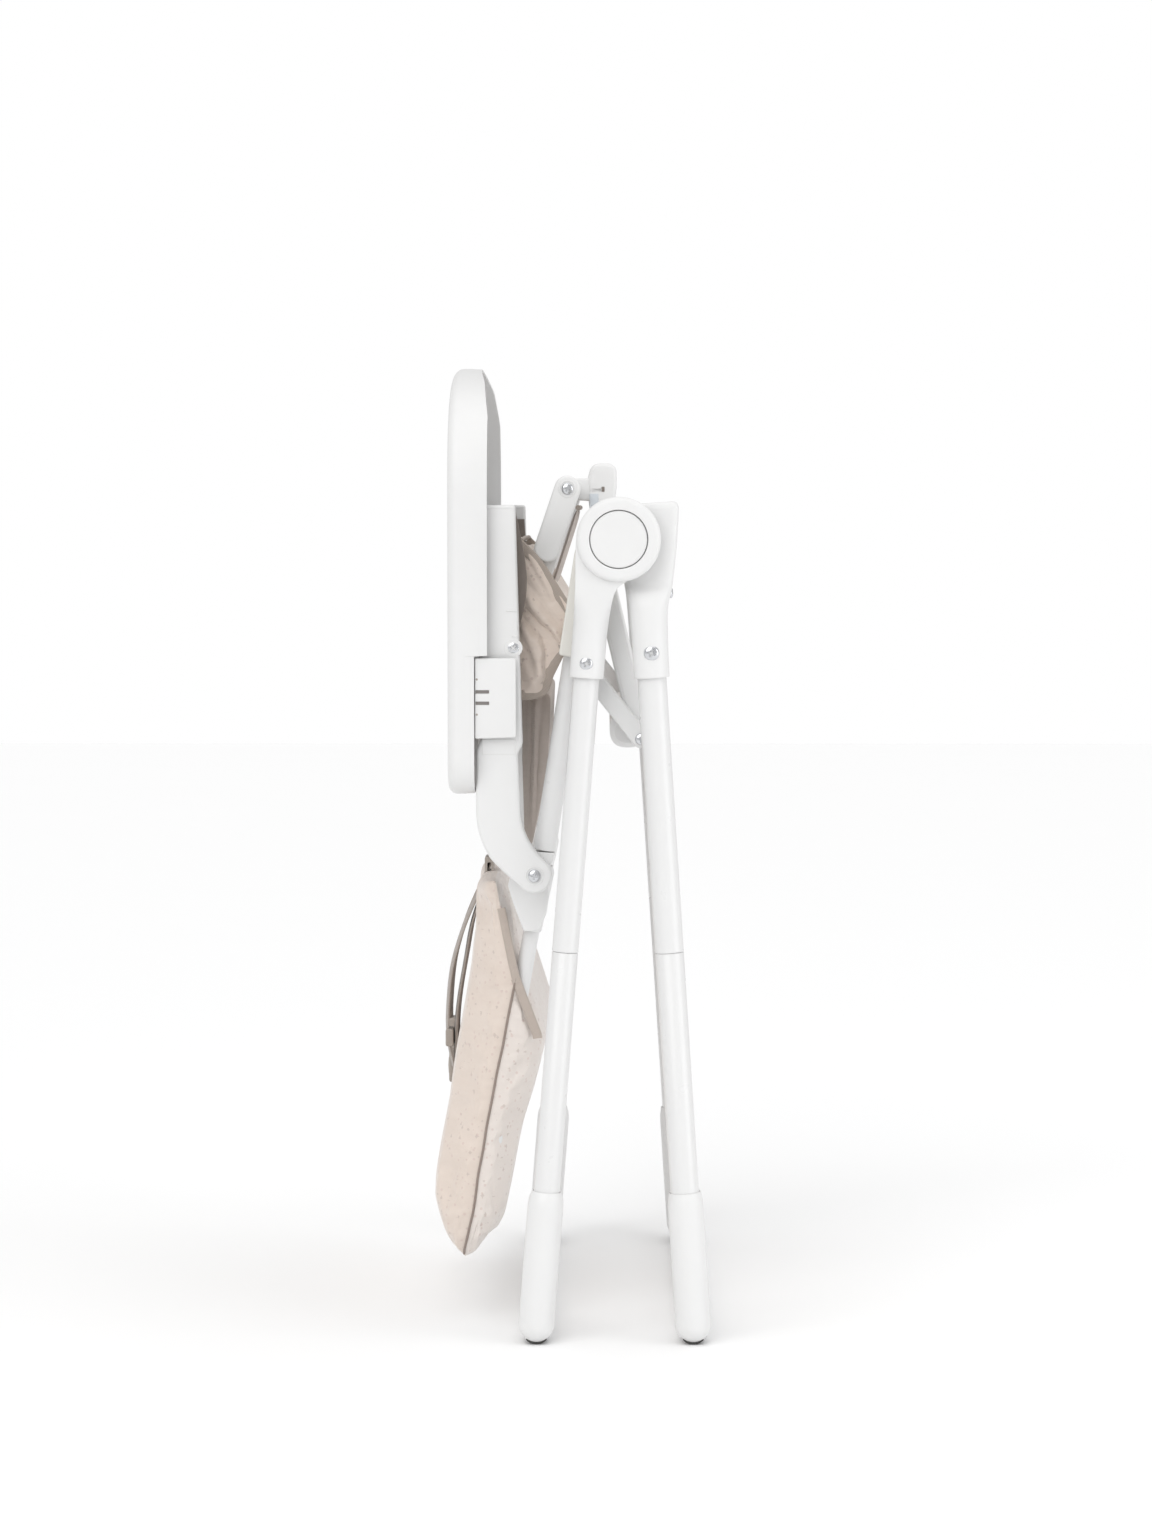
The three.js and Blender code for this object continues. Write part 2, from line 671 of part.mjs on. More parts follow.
// The crumpled cloth sleeve that is stretched between the two calf bars.
function calfCover() {
  const shape = outline([
    [-52, 640],
    [-30, 628],
    [-12, 668],
    [-4, 700],
    [-2, 728],
    [-34, 778],
    [-50, 770],
    [-44, 716],
  ]);
  return plate(shape, [-165, 165]);
}

function footrest() {
  const board = block([12.8, 42.2], [-150, 150], [799, 854]);
  const arms = [-1, 1].map((side) => {
    const reach = layerY(side, [150.5 - 14, 150.5]);
    return block([FOOTREST_PIVOT.x + 6, 16], reach, [FOOTREST_PIVOT.z - 12, FOOTREST_PIVOT.z + 10]);
  });
  const bosses = [-1, 1].map((side) => disc(FOOTREST_PIVOT, 12, layerY(side, [136.5, 171.6])));
  const stubs = [-1, 1].map((side) => disc(FOOTREST_PIVOT, PIN_RADIUS, layerY(side, [160, 189]), 20));
  return join(board, ...arms, ...bosses, ...stubs);
}

function addCalfRest() {
  bothSides((sideName, side) => {
    addPiece(`calf_bar_${sideName}`, calfBar(side), FINISH.plastic);
  });
  addPiece("calf_cover", calfCover(), FINISH.satin);
  addPiece("footrest", footrest(), FINISH.plastic);
}

// ---------------------------------------------------------------- seat cloth and harness

// The slack seat lies folded between the arms and the rails.
function seatSling() {
  const shape = outline([
    [-48, 486],
    [-32, 492],
    [-24, 580],
    [-25, 618],
    [-40, 622],
    [-47, 560],
  ]);
  return plate(shape, [-165, 165]);
}

// A strap of webbing, seen edge-on, hangs just clear of the cushion.
function harnessStrap(side) {
  const front = [
    [-96, 430],
    [-105, 388],
    [-109, 338],
    [-120, 290],
    [-126, 258],
  ];
  const thickness = 2.2;
  const back = front.map(([x, z]) => [x + thickness, z]).reverse();
  return plate(outline([...front, ...back]), layerY(side, [44, 66]));
}

function addHarness() {
  bothSides((sideName, side) => {
    addPiece(`shoulder_strap_${sideName}`, harnessStrap(side), FINISH.webbing);
  });
  addPiece("harness_buckle", block([-131, -121.5], [-24, 24], [212, 255]), FINISH.buckle);
}

// ---------------------------------------------------------------- the whole chair

const rearGroup = legFrame(REAR_LEG);
const frontGroup = legFrame(FRONT_LEG);
addLegs("rear", REAR_LEG, rearGroup);
addLegs("front", FRONT_LEG, frontGroup);
addHubs(rearGroup, frontGroup);
addRails();
addLinks();
addArms();
addPiece("tray", tray(), FINISH.plastic);
addBackrest();
addCalfRest();
addPiece("seat_sling", seatSling(), FINISH.lining);
addHarness();

export default chair;
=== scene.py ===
"""The looks of a folding high chair, folded flat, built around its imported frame.

Metres, +Z up, +X towards the front of the chair, -Y is the chair's right-hand side.
Distances from the middle of the chair along Y are the same on both sides, so a side is -1 or 1.
"""
import json
import math

import bmesh
import bpy
import numpy as np
from mathutils import Matrix, Vector, noise


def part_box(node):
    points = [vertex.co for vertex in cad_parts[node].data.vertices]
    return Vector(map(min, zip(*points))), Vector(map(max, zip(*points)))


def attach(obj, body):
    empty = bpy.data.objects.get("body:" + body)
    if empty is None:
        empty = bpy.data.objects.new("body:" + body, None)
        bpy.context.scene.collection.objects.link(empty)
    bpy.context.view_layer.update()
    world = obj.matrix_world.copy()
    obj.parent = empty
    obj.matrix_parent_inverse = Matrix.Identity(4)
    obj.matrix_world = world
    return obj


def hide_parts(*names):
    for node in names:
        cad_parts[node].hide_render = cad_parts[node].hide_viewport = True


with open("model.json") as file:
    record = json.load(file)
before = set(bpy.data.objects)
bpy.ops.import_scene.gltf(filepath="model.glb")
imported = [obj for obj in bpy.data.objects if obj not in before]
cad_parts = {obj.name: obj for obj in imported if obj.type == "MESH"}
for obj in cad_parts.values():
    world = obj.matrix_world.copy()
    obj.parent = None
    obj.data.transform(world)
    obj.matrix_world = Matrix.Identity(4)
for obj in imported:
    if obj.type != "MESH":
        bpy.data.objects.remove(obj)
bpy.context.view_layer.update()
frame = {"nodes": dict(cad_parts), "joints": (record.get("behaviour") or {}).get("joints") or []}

MM = 0.001
SIDES = {"right": -1, "left": 1}
ACROSS = Vector((0, 1, 0))
ROUND_SIDES = 56


# ---------------------------------------------------------------- places read from the frame


def points_of(node):
    """A CAD node's points, as an array."""
    return np.array([v.co for v in frame["nodes"][node].data.vertices], float)


def pivot(joint):
    """The point on a hinge's axis in the middle of the chair."""
    return Vector(next(j["pos_m"] for j in frame["joints"] if j["name"] == joint))


def layers(node):
    """The smallest and the largest distance of a one-sided node from the middle of the chair."""
    low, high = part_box(node)
    near, far = sorted((abs(low.y), abs(high.y)))
    return near, far


def axis_of(node):
    """The middle of a tube and the direction it runs in: downwards, or to the left on a level tube."""
    points = points_of(node)
    centre = points.mean(axis=0)
    run = np.linalg.svd(points - centre, full_matrices=False)[2][0]
    if run[2] > 0.01 or (abs(run[2]) <= 0.01 and run[1] < 0):
        run = -run
    return Vector(centre), Vector(run).normalized()


def stretch(node, origin, run):
    """Where a node starts and ends along a line."""
    along = (points_of(node) - np.array(origin)) @ np.array(run)
    return float(along.min()), float(along.max())


def girth(node, origin, run):
    """The smallest and the largest distance of a node's points from a line."""
    away = points_of(node) - np.array(origin)
    along = away @ np.array(run)
    reach = np.linalg.norm(away - np.outer(along, np.array(run)), axis=1)
    return float(reach.min()), float(reach.max())


def at(origin, x=0.0, y=0.0, z=0.0):
    """A point at a distance from another one."""
    return Vector((origin[0] + x, origin[1] + y, origin[2] + z))


HUB = pivot("leg_fold")
SEAT_PIVOT = pivot("recline")
CALF_PIVOT = pivot("calf_rest_tilt")
FOOTREST_PIVOT = pivot("footrest_tilt")
LINK_TOP = pivot("upper_link_fold")


# ---------------------------------------------------------------- outlines


def sided(side, near, far):
    """Two distances from the middle of the chair as a low and a high Y on one side of it."""
    return sorted((side * near, side * far))


def turn_at(before, here, after):
    """How far an outline turns at a point, in radians."""
    into, out = here - before, after - here
    if into.length < 1e-9 or out.length < 1e-9:
        return 0.0
    return into.angle(out)


def rounded(corners, radius, steps=6, closed=True):
    """An outline with round corners. A corner may hold a radius of its own as a third value."""
    count = len(corners)
    result = []
    for index, corner in enumerate(corners):
        here = Vector(corner[:2])
        size = corner[2] if len(corner) > 2 else radius
        if size <= 0 or (not closed and index in (0, count - 1)):
            result.append(here)
            continue
        back = Vector(corners[index - 1][:2]) - here
        on = Vector(corners[(index + 1) % count][:2]) - here
        half = back.angle(on) / 2
        if half > math.radians(88):
            result.append(here)
            continue
        reach = min(size / math.tan(half), 0.49 * back.length, 0.49 * on.length)
        centre = here + (back.normalized() + on.normalized()).normalized() * (reach / math.cos(half))
        start = here + back.normalized() * reach - centre
        end = here + on.normalized() * reach - centre
        sweep = math.pi - 2 * half
        for step in range(steps + 1):
            share = step / steps
            spoke = start * math.sin((1 - share) * sweep) + end * math.sin(share * sweep)
            result.append(centre + spoke / math.sin(sweep))
    return result


def smoothed(outline, corner, sharp=math.radians(30)):
    """A faceted outline as curves: shallow turns become smooth, and sharp ones get a small radius."""
    count = len(outline)
    turns = [turn_at(outline[i - 1], outline[i], outline[(i + 1) % count]) for i in range(count)]
    tangents = []
    for i in range(count):
        into = outline[i] - outline[i - 1]
        out = outline[(i + 1) % count] - outline[i]
        if into.length > 3 * out.length:
            tangents.append(into.normalized())
        elif out.length > 3 * into.length:
            tangents.append(out.normalized())
        else:
            tangents.append((into.normalized() + out.normalized()).normalized())
    result = []
    for i in range(count):
        j = (i + 1) % count
        edge = outline[j] - outline[i]
        first = edge.normalized() if turns[i] > sharp else tangents[i]
        last = edge.normalized() if turns[j] > sharp else tangents[j]
        result.append((*outline[i], corner if turns[i] > sharp else 0.0))
        if first.angle(edge) + last.angle(edge) < math.radians(2):
            continue
        for share in (0.25, 0.5, 0.75):
            h1 = 2 * share**3 - 3 * share**2 + 1
            h2 = share**3 - 2 * share**2 + share
            h3 = share**3 - share**2
            bent = outline[i] * h1 + outline[j] * (1 - h1) + (first * h2 + last * h3) * edge.length
            result.append((*bent, 0.0))
    return rounded(result, corner)


def inset(outline, margin):
    """An outline moved inwards by a margin, point by point."""
    count = len(outline)
    area = sum(outline[i - 1].cross(outline[i]) for i in range(count))
    inward = 1 if area > 0 else -1
    result = []
    for i in range(count):
        into = (outline[i] - outline[i - 1]).normalized()
        out = (outline[(i + 1) % count] - outline[i]).normalized()
        normal = Vector((-(into + out).y, (into + out).x))
        if normal.length < 1e-6:
            result.append(outline[i].copy())
            continue
        normal.normalize()
        lean = max(0.5, abs(normal.dot(Vector((-into.y, into.x)))))
        result.append(outline[i] + normal * (inward * margin / lean))
    return result


def face_outline(node):
    """The outline, in X and Z, of a node's largest flat face across the chair, and the layer it fills."""
    mesh = bmesh.new()
    mesh.from_mesh(frame["nodes"][node].data)
    bmesh.ops.remove_doubles(mesh, verts=mesh.verts, dist=1e-6)
    levels = {}
    for face in mesh.faces:
        if abs(face.normal.y) > 0.99:
            key = (round(face.calc_center_median().y, 4), face.normal.y > 0)
            levels.setdefault(key, []).append(face)
    size = {key: sum(f.calc_area() for f in faces) for key, faces in levels.items()}
    up = max((k for k in levels if k[1]), key=size.get)
    down = max((k for k in levels if not k[1]), key=size.get)
    chosen = set(levels[max(up, down, key=size.get)])
    rim = {}
    for face in chosen:
        for loop in face.loops:
            if sum(f in chosen for f in loop.edge.link_faces) == 1:
                rim[loop.vert] = loop.link_loop_next.vert
    outlines = []
    while rim:
        start, vert = rim.popitem()
        path = [start]
        while vert in rim:
            path.append(vert)
            vert = rim.pop(vert)
        outlines.append([Vector((v.co.x, v.co.z)) for v in path])
    mesh.free()
    longest = max(outlines, key=lambda o: sum((o[i] - o[i - 1]).length for i in range(len(o))))
    return longest, (down[0], up[0])


# ---------------------------------------------------------------- solid shapes, as points and faces


def bridge(rings, ends="flat", loop=False):
    """Faces between rings of equal length. An end is one flat face, or rows of strips across it."""
    count = len(rings[0])
    points = [Vector(p) for ring in rings for p in ring]
    faces = []
    pairs = len(rings) if loop else len(rings) - 1
    for r in range(pairs):
        a, b = r * count, (r + 1) % len(rings) * count
        for i in range(count):
            j = (i + 1) % count
            faces.append((a + i, a + j, b + j, b + i))
    if loop or ends == "open":
        return points, faces
    for start in (0, (len(rings) - 1) * count):
        if ends == "flat":
            faces.append(tuple(range(start, start + count)))
            continue
        half = count // 2
        faces.append((start, start + 1, start + count - 1))
        faces.append((start + half - 1, start + half, start + half + 1))
        for i in range(1, half - 1):
            faces.append((start + i, start + i + 1, start + count - i - 1, start + count - i))
    return points, faces


def turned(profile, origin, run, sides=ROUND_SIDES):
    """A body of revolution. The profile holds radius and distance along the run."""
    run = Vector(run).normalized()
    first = run.orthogonal().normalized()
    second = run.cross(first)
    points, faces, rows = [], [], []
    for radius, along in profile:
        centre = Vector(origin) + run * along
        if radius < 1e-7:
            rows.append([len(points)] * sides)
            points.append(centre)
            continue
        rows.append(list(range(len(points), len(points) + sides)))
        for step in range(sides):
            angle = 2 * math.pi * step / sides
            points.append(centre + (first * math.cos(angle) + second * math.sin(angle)) * radius)
    for below, above in zip(rows, rows[1:]):
        for i in range(sides):
            j = (i + 1) % sides
            face = (below[i], below[j], above[j], above[i])
            face = tuple(dict.fromkeys(face))
            if len(face) > 2:
                faces.append(face)
    if profile[0][0] > 1e-7 and profile[0] == profile[-1]:
        return points, faces
    for row, radius in ((rows[0], profile[0][0]), (rows[-1], profile[-1][0])):
        if radius > 1e-7:
            faces.append(tuple(row))
    return points, faces


def plate(outline, low, high, edge, steps=4, place=None):
    """A flat piece with round rims: an outline in X and Z, from one Y to another."""
    place = place or (lambda u, v, w: Vector((u, w, v)))
    rings = []
    for end, other in ((low, high), (high, low)):
        inward = 1 if other > end else -1
        rims = []
        for step in range(steps + 1):
            angle = math.pi / 2 * step / steps
            ring = inset(outline, edge * (1 - math.sin(angle)))
            level = end + inward * edge * (1 - math.cos(angle))
            rims.append([place(p.x, p.y, level) for p in ring])
        rings += rims if end == low else rims[::-1]
    return bridge(rings)


def block(low, high, edge):
    """A box with round edges, between two corners."""
    corners = [(low[0], low[2]), (high[0], low[2]), (high[0], high[2]), (low[0], high[2])]
    return plate(rounded(corners, edge * 1.3, steps=4), low[1], high[1], edge)


def side_block(side, x_span, y_span, z_span, edge):
    """A box with round edges on one side of the chair. Its Y span counts from the chair's middle."""
    y_low, y_high = sided(side, *y_span)
    return block((x_span[0], y_low, z_span[0]), (x_span[1], y_high, z_span[1]), edge)


def pin(profile, centre, side, sides=ROUND_SIDES):
    """A body of revolution on an axis across the chair, measured outwards from the chair's middle."""
    return turned(profile, (centre[0], 0, centre[2]), (0, side, 0), sides)


def soft_profile(corners, steps):
    """A profile whose corners are rounded where they hold a radius."""
    return [tuple(p) for p in rounded(corners, 0.0, steps=steps, closed=False)]


def superellipse(centre, first, second, half_u, half_v, power, count=ROUND_SIDES):
    """A closed ring between an ellipse, at power 2, and a rounded rectangle."""
    ring = []
    for step in range(count):
        angle = 2 * math.pi * step / count
        u = math.copysign(abs(math.cos(angle)) ** (2 / power), math.cos(angle))
        v = math.copysign(abs(math.sin(angle)) ** (2 / power), math.sin(angle))
        ring.append(Vector(centre) + first * (half_u * u) + second * (half_v * v))
    return ring


def swept(path, section, side=ACROSS, loop=False):
    """A section carried along a path. Its first value runs to the side, its second away from it."""
    path = [Vector(p) for p in path]
    rings = []
    for i, here in enumerate(path):
        before = path[i - 1] if i or loop else here
        after = path[(i + 1) % len(path)] if i < len(path) - 1 or loop else here
        run = (after - before).normalized()
        away = run.cross(side).normalized()
        wide = away.cross(run).normalized()
        rings.append([here + wide * u + away * v for u, v in section])
    return bridge(rings, loop=loop)


def ribbon_section(width, thickness):
    """A strap's section: flat, with rounded edges. The width runs to the side of its path."""
    corners = [(-width / 2, -thickness / 2), (width / 2, -thickness / 2),
               (width / 2, thickness / 2), (-width / 2, thickness / 2)]
    return [tuple(p) for p in rounded(corners, 0.45 * min(width, thickness), steps=3)]


def round_section(radius, sides=12):
    """A round section for a swept shape."""
    angles = [2 * math.pi * i / sides for i in range(sides)]
    return [(radius * math.cos(angle), radius * math.sin(angle)) for angle in angles]


def curve_through(points, per_span=8):
    """A smooth path through a few points."""
    points = [Vector(p) for p in points]
    padded = [points[0] * 2 - points[1], *points, points[-1] * 2 - points[-2]]
    path = []
    for a, b, c, d in zip(padded, padded[1:], padded[2:], padded[3:]):
        for step in range(per_span):
            t = step / per_span
            path.append(0.5 * (2 * b + (c - a) * t + (2 * a - 5 * b + 4 * c - d) * t * t
                               + (3 * b - a - 3 * c + d) * t**3))
    return path + [points[-1]]


def bezier(a, b, c, d, steps):
    """Points on a curve with two handles, without its last point."""
    for step in range(steps):
        t = step / steps
        yield a * (1 - t) ** 3 + b * (3 * t * (1 - t) ** 2) + c * (3 * t * t * (1 - t)) + d * t**3


def level_row(point, half, steps):
    """Points across the chair, from one side to the other, through a point in X and Z."""
    return [at(point, y=-half + 2 * half * i / steps) for i in range(steps + 1)]


def lerp(table, value):
    """A value read off a table of pairs."""
    return float(np.interp(value, [row[0] for row in table], [row[1] for row in table]))


# ---------------------------------------------------------------- pieces


def make_mesh(name, *shapes):
    """One mesh from several shapes, each a list of points and a list of faces."""
    points, faces = [], []
    for shape_points, shape_faces in shapes:
        start = len(points)
        points += [tuple(p) for p in shape_points]
        faces += [tuple(start + i for i in face) for face in shape_faces]
    mesh = bpy.data.meshes.new(name)
    mesh.from_pydata(points, [], faces)
    tidy = bmesh.new()
    tidy.from_mesh(mesh)
    bmesh.ops.recalc_face_normals(tidy, faces=tidy.faces)
    tidy.to_mesh(mesh)
    tidy.free()
    return mesh


def add_object(name, data):
    """A new object in the scene, made of a mesh, a light or a camera."""
    made = bpy.data.objects.new(name, data)
    bpy.context.scene.collection.objects.link(made)
    return made


def shade(mesh, angle=38):
    """Smooth shading that breaks where faces meet at more than an angle, in degrees."""
    mesh.shade_smooth()
    mesh.set_sharp_from_angle(angle=math.radians(angle))


def add_piece(name, shapes, finish, body, stands_for=()):
    """A finished piece that rides on a body, and stands for the CAD nodes it is named for."""
    piece = add_object(name, make_mesh(name, *shapes))
    shade(piece.data)
    piece.data.materials.append(finish["material"])
    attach(piece, body)
    if stands_for:
        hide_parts(*stands_for)
    return piece


def carve(piece, *shapes):
    """Cuts shapes out of a piece."""
    for shape in shapes:
        cutter = add_object("cutter", make_mesh("cutter", shape))
        modifier = piece.modifiers.new("cut", "BOOLEAN")
        modifier.object = cutter
        modifier.solver = "EXACT"
        bpy.context.view_layer.update()
        carved = bpy.data.meshes.new_from_object(
            piece.evaluated_get(bpy.context.evaluated_depsgraph_get())
        )
        piece.modifiers.clear()
        piece.data = carved
        bpy.data.objects.remove(cutter)
    shade(piece.data)


# ---------------------------------------------------------------- shader node groups


def add_node(tree, kind, values=(), **settings):
    """A node with its settings and the values of its unlinked sockets."""
    made = tree.nodes.new(kind)
    for name, value in settings.items():
        setattr(made, name, value)
    for name, value in dict(values).items():
        made.inputs[name].default_value = value
    return made


def new_group(name, inputs, outputs):
    """A shader node group. Inputs and outputs are names with a socket kind and a start value."""
    group = bpy.data.node_groups.new(name, "ShaderNodeTree")
    for socket, (kind, value) in inputs.items():
        made = group.interface.new_socket(socket, in_out="INPUT", socket_type=kind)
        made.default_value = value
    for socket, kind in outputs.items():
        group.interface.new_socket(socket, in_out="OUTPUT", socket_type=kind)
    enter = group.nodes.new("NodeGroupInput")
    leave = group.nodes.new("NodeGroupOutput")
    return group, enter, leave


FLOAT = "NodeSocketFloat"


def math_node(tree, operation, first, second=None):
    """A Math node. Each value is a number or a socket."""
    made = tree.nodes.new("ShaderNodeMath")
    made.operation = operation
    for socket, value in zip(made.inputs, (first, second)):
        if value is None:
            continue
        if isinstance(value, (int, float)):
            socket.default_value = value
        else:
            tree.links.new(value, socket)
    return made.outputs[0]


def make_fine_grain():
    """Fine moulded or sprayed grain, as a height and as a soft mask."""
    group, enter, leave = new_group(
        "fine_grain",
        {"Scale": (FLOAT, 900.0), "Broad scale": (FLOAT, 60.0)},
        {"Height": FLOAT, "Mask": FLOAT},
    )
    place = group.nodes.new("ShaderNodeTexCoord")
    small = add_node(group, "ShaderNodeTexNoise", {"Detail": 3.0, "Roughness": 0.6})
    broad = add_node(group, "ShaderNodeTexNoise", {"Detail": 2.0})
    for texture, scale in ((small, "Scale"), (broad, "Broad scale")):
        group.links.new(place.outputs["Object"], texture.inputs["Vector"])
        group.links.new(enter.outputs[scale], texture.inputs["Scale"])
    waves = math_node(group, "MULTIPLY", broad.outputs["Fac"], 0.6)
    group.links.new(math_node(group, "ADD", small.outputs["Fac"], waves), leave.inputs["Height"])
    group.links.new(broad.outputs["Fac"], leave.inputs["Mask"])
    return group


def make_edge_wear():
    """A mask along edges: the rounded normal leaves the true one there, broken up by noise."""
    group, enter, leave = new_group(
        "edge_wear", {"Amount": (FLOAT, 1.0), "Patch scale": (FLOAT, 120.0)}, {"Mask": FLOAT}
    )
    soft = add_node(group, "ShaderNodeBevel", {"Radius": 1.2 * MM}, samples=4)
    true = group.nodes.new("ShaderNodeNewGeometry")
    facing = add_node(group, "ShaderNodeVectorMath", operation="DOT_PRODUCT")
    group.links.new(soft.outputs["Normal"], facing.inputs[0])
    group.links.new(true.outputs["Normal"], facing.inputs[1])
    turned_away = math_node(group, "SUBTRACT", 1.0, facing.outputs["Value"])
    place = group.nodes.new("ShaderNodeTexCoord")
    patches = add_node(group, "ShaderNodeTexNoise", {"Detail": 4.0})
    group.links.new(place.outputs["Object"], patches.inputs["Vector"])
    group.links.new(enter.outputs["Patch scale"], patches.inputs["Scale"])
    broken = math_node(group, "MULTIPLY", turned_away, patches.outputs["Fac"])
    amount = math_node(group, "MULTIPLY", broken, enter.outputs["Amount"])
    clamped = math_node(group, "MINIMUM", math_node(group, "MULTIPLY", amount, 8.0), 1.0)
    group.links.new(clamped, leave.inputs["Mask"])
    return group


def make_settled_dust():
    """A mask of thin dust on faces that look up."""
    group, enter, leave = new_group("settled_dust", {"Amount": (FLOAT, 0.5)}, {"Mask": FLOAT})
    true = group.nodes.new("ShaderNodeNewGeometry")
    parts = group.nodes.new("ShaderNodeSeparateXYZ")
    group.links.new(true.outputs["Normal"], parts.inputs[0])
    up = math_node(group, "MAXIMUM", parts.outputs["Z"], 0.0)
    place = group.nodes.new("ShaderNodeTexCoord")
    cloud = add_node(group, "ShaderNodeTexNoise", {"Scale": 35.0, "Detail": 5.0})
    group.links.new(place.outputs["Object"], cloud.inputs["Vector"])
    thin = math_node(group, "MULTIPLY", up, cloud.outputs["Fac"])
    group.links.new(math_node(group, "MULTIPLY", thin, enter.outputs["Amount"]), leave.inputs["Mask"])
    return group


def make_cloth_weave():
    """Warp and weft threads as a height, and a mask that runs light and dark with the yarn."""
    group, enter, leave = new_group(
        "cloth_weave",
        {"Threads": (FLOAT, 900.0), "Slub": (FLOAT, 0.3)},
        {"Height": FLOAT, "Yarn": FLOAT},
    )
    place = group.nodes.new("ShaderNodeTexCoord")
    parts = group.nodes.new("ShaderNodeSeparateXYZ")
    group.links.new(place.outputs["Object"], parts.inputs[0])
    flat = math_node(group, "ADD", parts.outputs["X"], parts.outputs["Y"])
    threads = []
    for source in (flat, parts.outputs["Z"]):
        wave = math_node(group, "SINE", math_node(group, "MULTIPLY", source, enter.outputs["Threads"]))
        threads.append(wave)
    cross = math_node(group, "MULTIPLY", threads[0], threads[1])
    yarn = add_node(group, "ShaderNodeTexNoise", {"Scale": 240.0, "Detail": 2.0})
    group.links.new(place.outputs["Object"], yarn.inputs["Vector"])
    uneven = math_node(group, "MULTIPLY", yarn.outputs["Fac"], enter.outputs["Slub"])
    group.links.new(math_node(group, "ADD", cross, uneven), leave.inputs["Height"])
    group.links.new(yarn.outputs["Fac"], leave.inputs["Yarn"])
    return group


def make_drape_folds():
    """Soft puckers and creases in stretched cloth, as a height and a shade; the cloths mix the shade into
    their colour as painted fold shade.
    """
    group, enter, leave = new_group(
        "drape_folds", {"Scale": (FLOAT, 22.0), "Stretch": (FLOAT, 2.5)}, {"Height": FLOAT, "Shade": FLOAT}
    )
    place = group.nodes.new("ShaderNodeTexCoord")
    parts = group.nodes.new("ShaderNodeSeparateXYZ")
    group.links.new(place.outputs["Object"], parts.inputs[0])
    joined = group.nodes.new("ShaderNodeCombineXYZ")
    group.links.new(parts.outputs["X"], joined.inputs["X"])
    group.links.new(parts.outputs["Y"], joined.inputs["Y"])
    group.links.new(math_node(group, "MULTIPLY", parts.outputs["Z"], enter.outputs["Stretch"]),
                    joined.inputs["Z"])
    cloud = add_node(group, "ShaderNodeTexNoise", {"Detail": 3.0, "Distortion": 0.8})
    group.links.new(joined.outputs[0], cloud.inputs["Vector"])
    group.links.new(enter.outputs["Scale"], cloud.inputs["Scale"])
    group.links.new(cloud.outputs["Fac"], leave.inputs["Height"])
    group.links.new(cloud.outputs["Fac"], leave.inputs["Shade"])
    return group


def make_scattered_print():
    """Small star-shaped and round marks, scattered through the cloth, as one mask for each."""
    group, enter, leave = new_group(
        "scattered_print", {"Spacing": (FLOAT, 100.0)}, {"Sparkles": FLOAT, "Dots": FLOAT}
    )
    place = group.nodes.new("ShaderNodeTexCoord")
    for output, metric, factor, size in (
        ("Sparkles", "MINKOWSKI", 1.0, 0.42),
        ("Dots", "EUCLIDEAN", 1.3, 0.19),
    ):
        cells = add_node(group, "ShaderNodeTexVoronoi", distance=metric, feature="F1")
        if metric == "MINKOWSKI":
            cells.inputs["Exponent"].default_value = 0.62
        group.links.new(place.outputs["Object"], cells.inputs["Vector"])
        group.links.new(math_node(group, "MULTIPLY", enter.outputs["Spacing"], factor),
                        cells.inputs["Scale"])
        inside = math_node(group, "LESS_THAN", cells.outputs["Distance"], size)
        group.links.new(inside, leave.inputs[output])
    return group


def make_stitches():
    """Dashes of thread in rows, as a height and a mask."""
    group, enter, leave = new_group(
        "stitches", {"Pitch": (FLOAT, 420.0)}, {"Height": FLOAT, "Thread": FLOAT}
    )
    place = group.nodes.new("ShaderNodeTexCoord")
    parts = group.nodes.new("ShaderNodeSeparateXYZ")
    group.links.new(place.outputs["Object"], parts.inputs[0])
    along = math_node(group, "SUBTRACT", parts.outputs["Z"], parts.outputs["X"])
    dash = math_node(group, "SINE", math_node(group, "MULTIPLY", along, 2.2 * 1000))
    fine = math_node(group, "SINE", math_node(group, "MULTIPLY", parts.outputs["Y"], enter.outputs["Pitch"]))
    both = math_node(group, "MULTIPLY", dash, fine)
    group.links.new(dash, leave.inputs["Height"])
    group.links.new(math_node(group, "GREATER_THAN", both, 0.55), leave.inputs["Thread"])
    return group


GROUPS = {
    "fine_grain": make_fine_grain(),
    "edge_wear": make_edge_wear(),
    "settled_dust": make_settled_dust(),
    "cloth_weave": make_cloth_weave(),
    "drape_folds": make_drape_folds(),
    "scattered_print": make_scattered_print(),
    "stitches": make_stitches(),
}


# ---------------------------------------------------------------- materials


def colour(red, green, blue):
    """An opaque colour."""
    return (red, green, blue, 1.0)


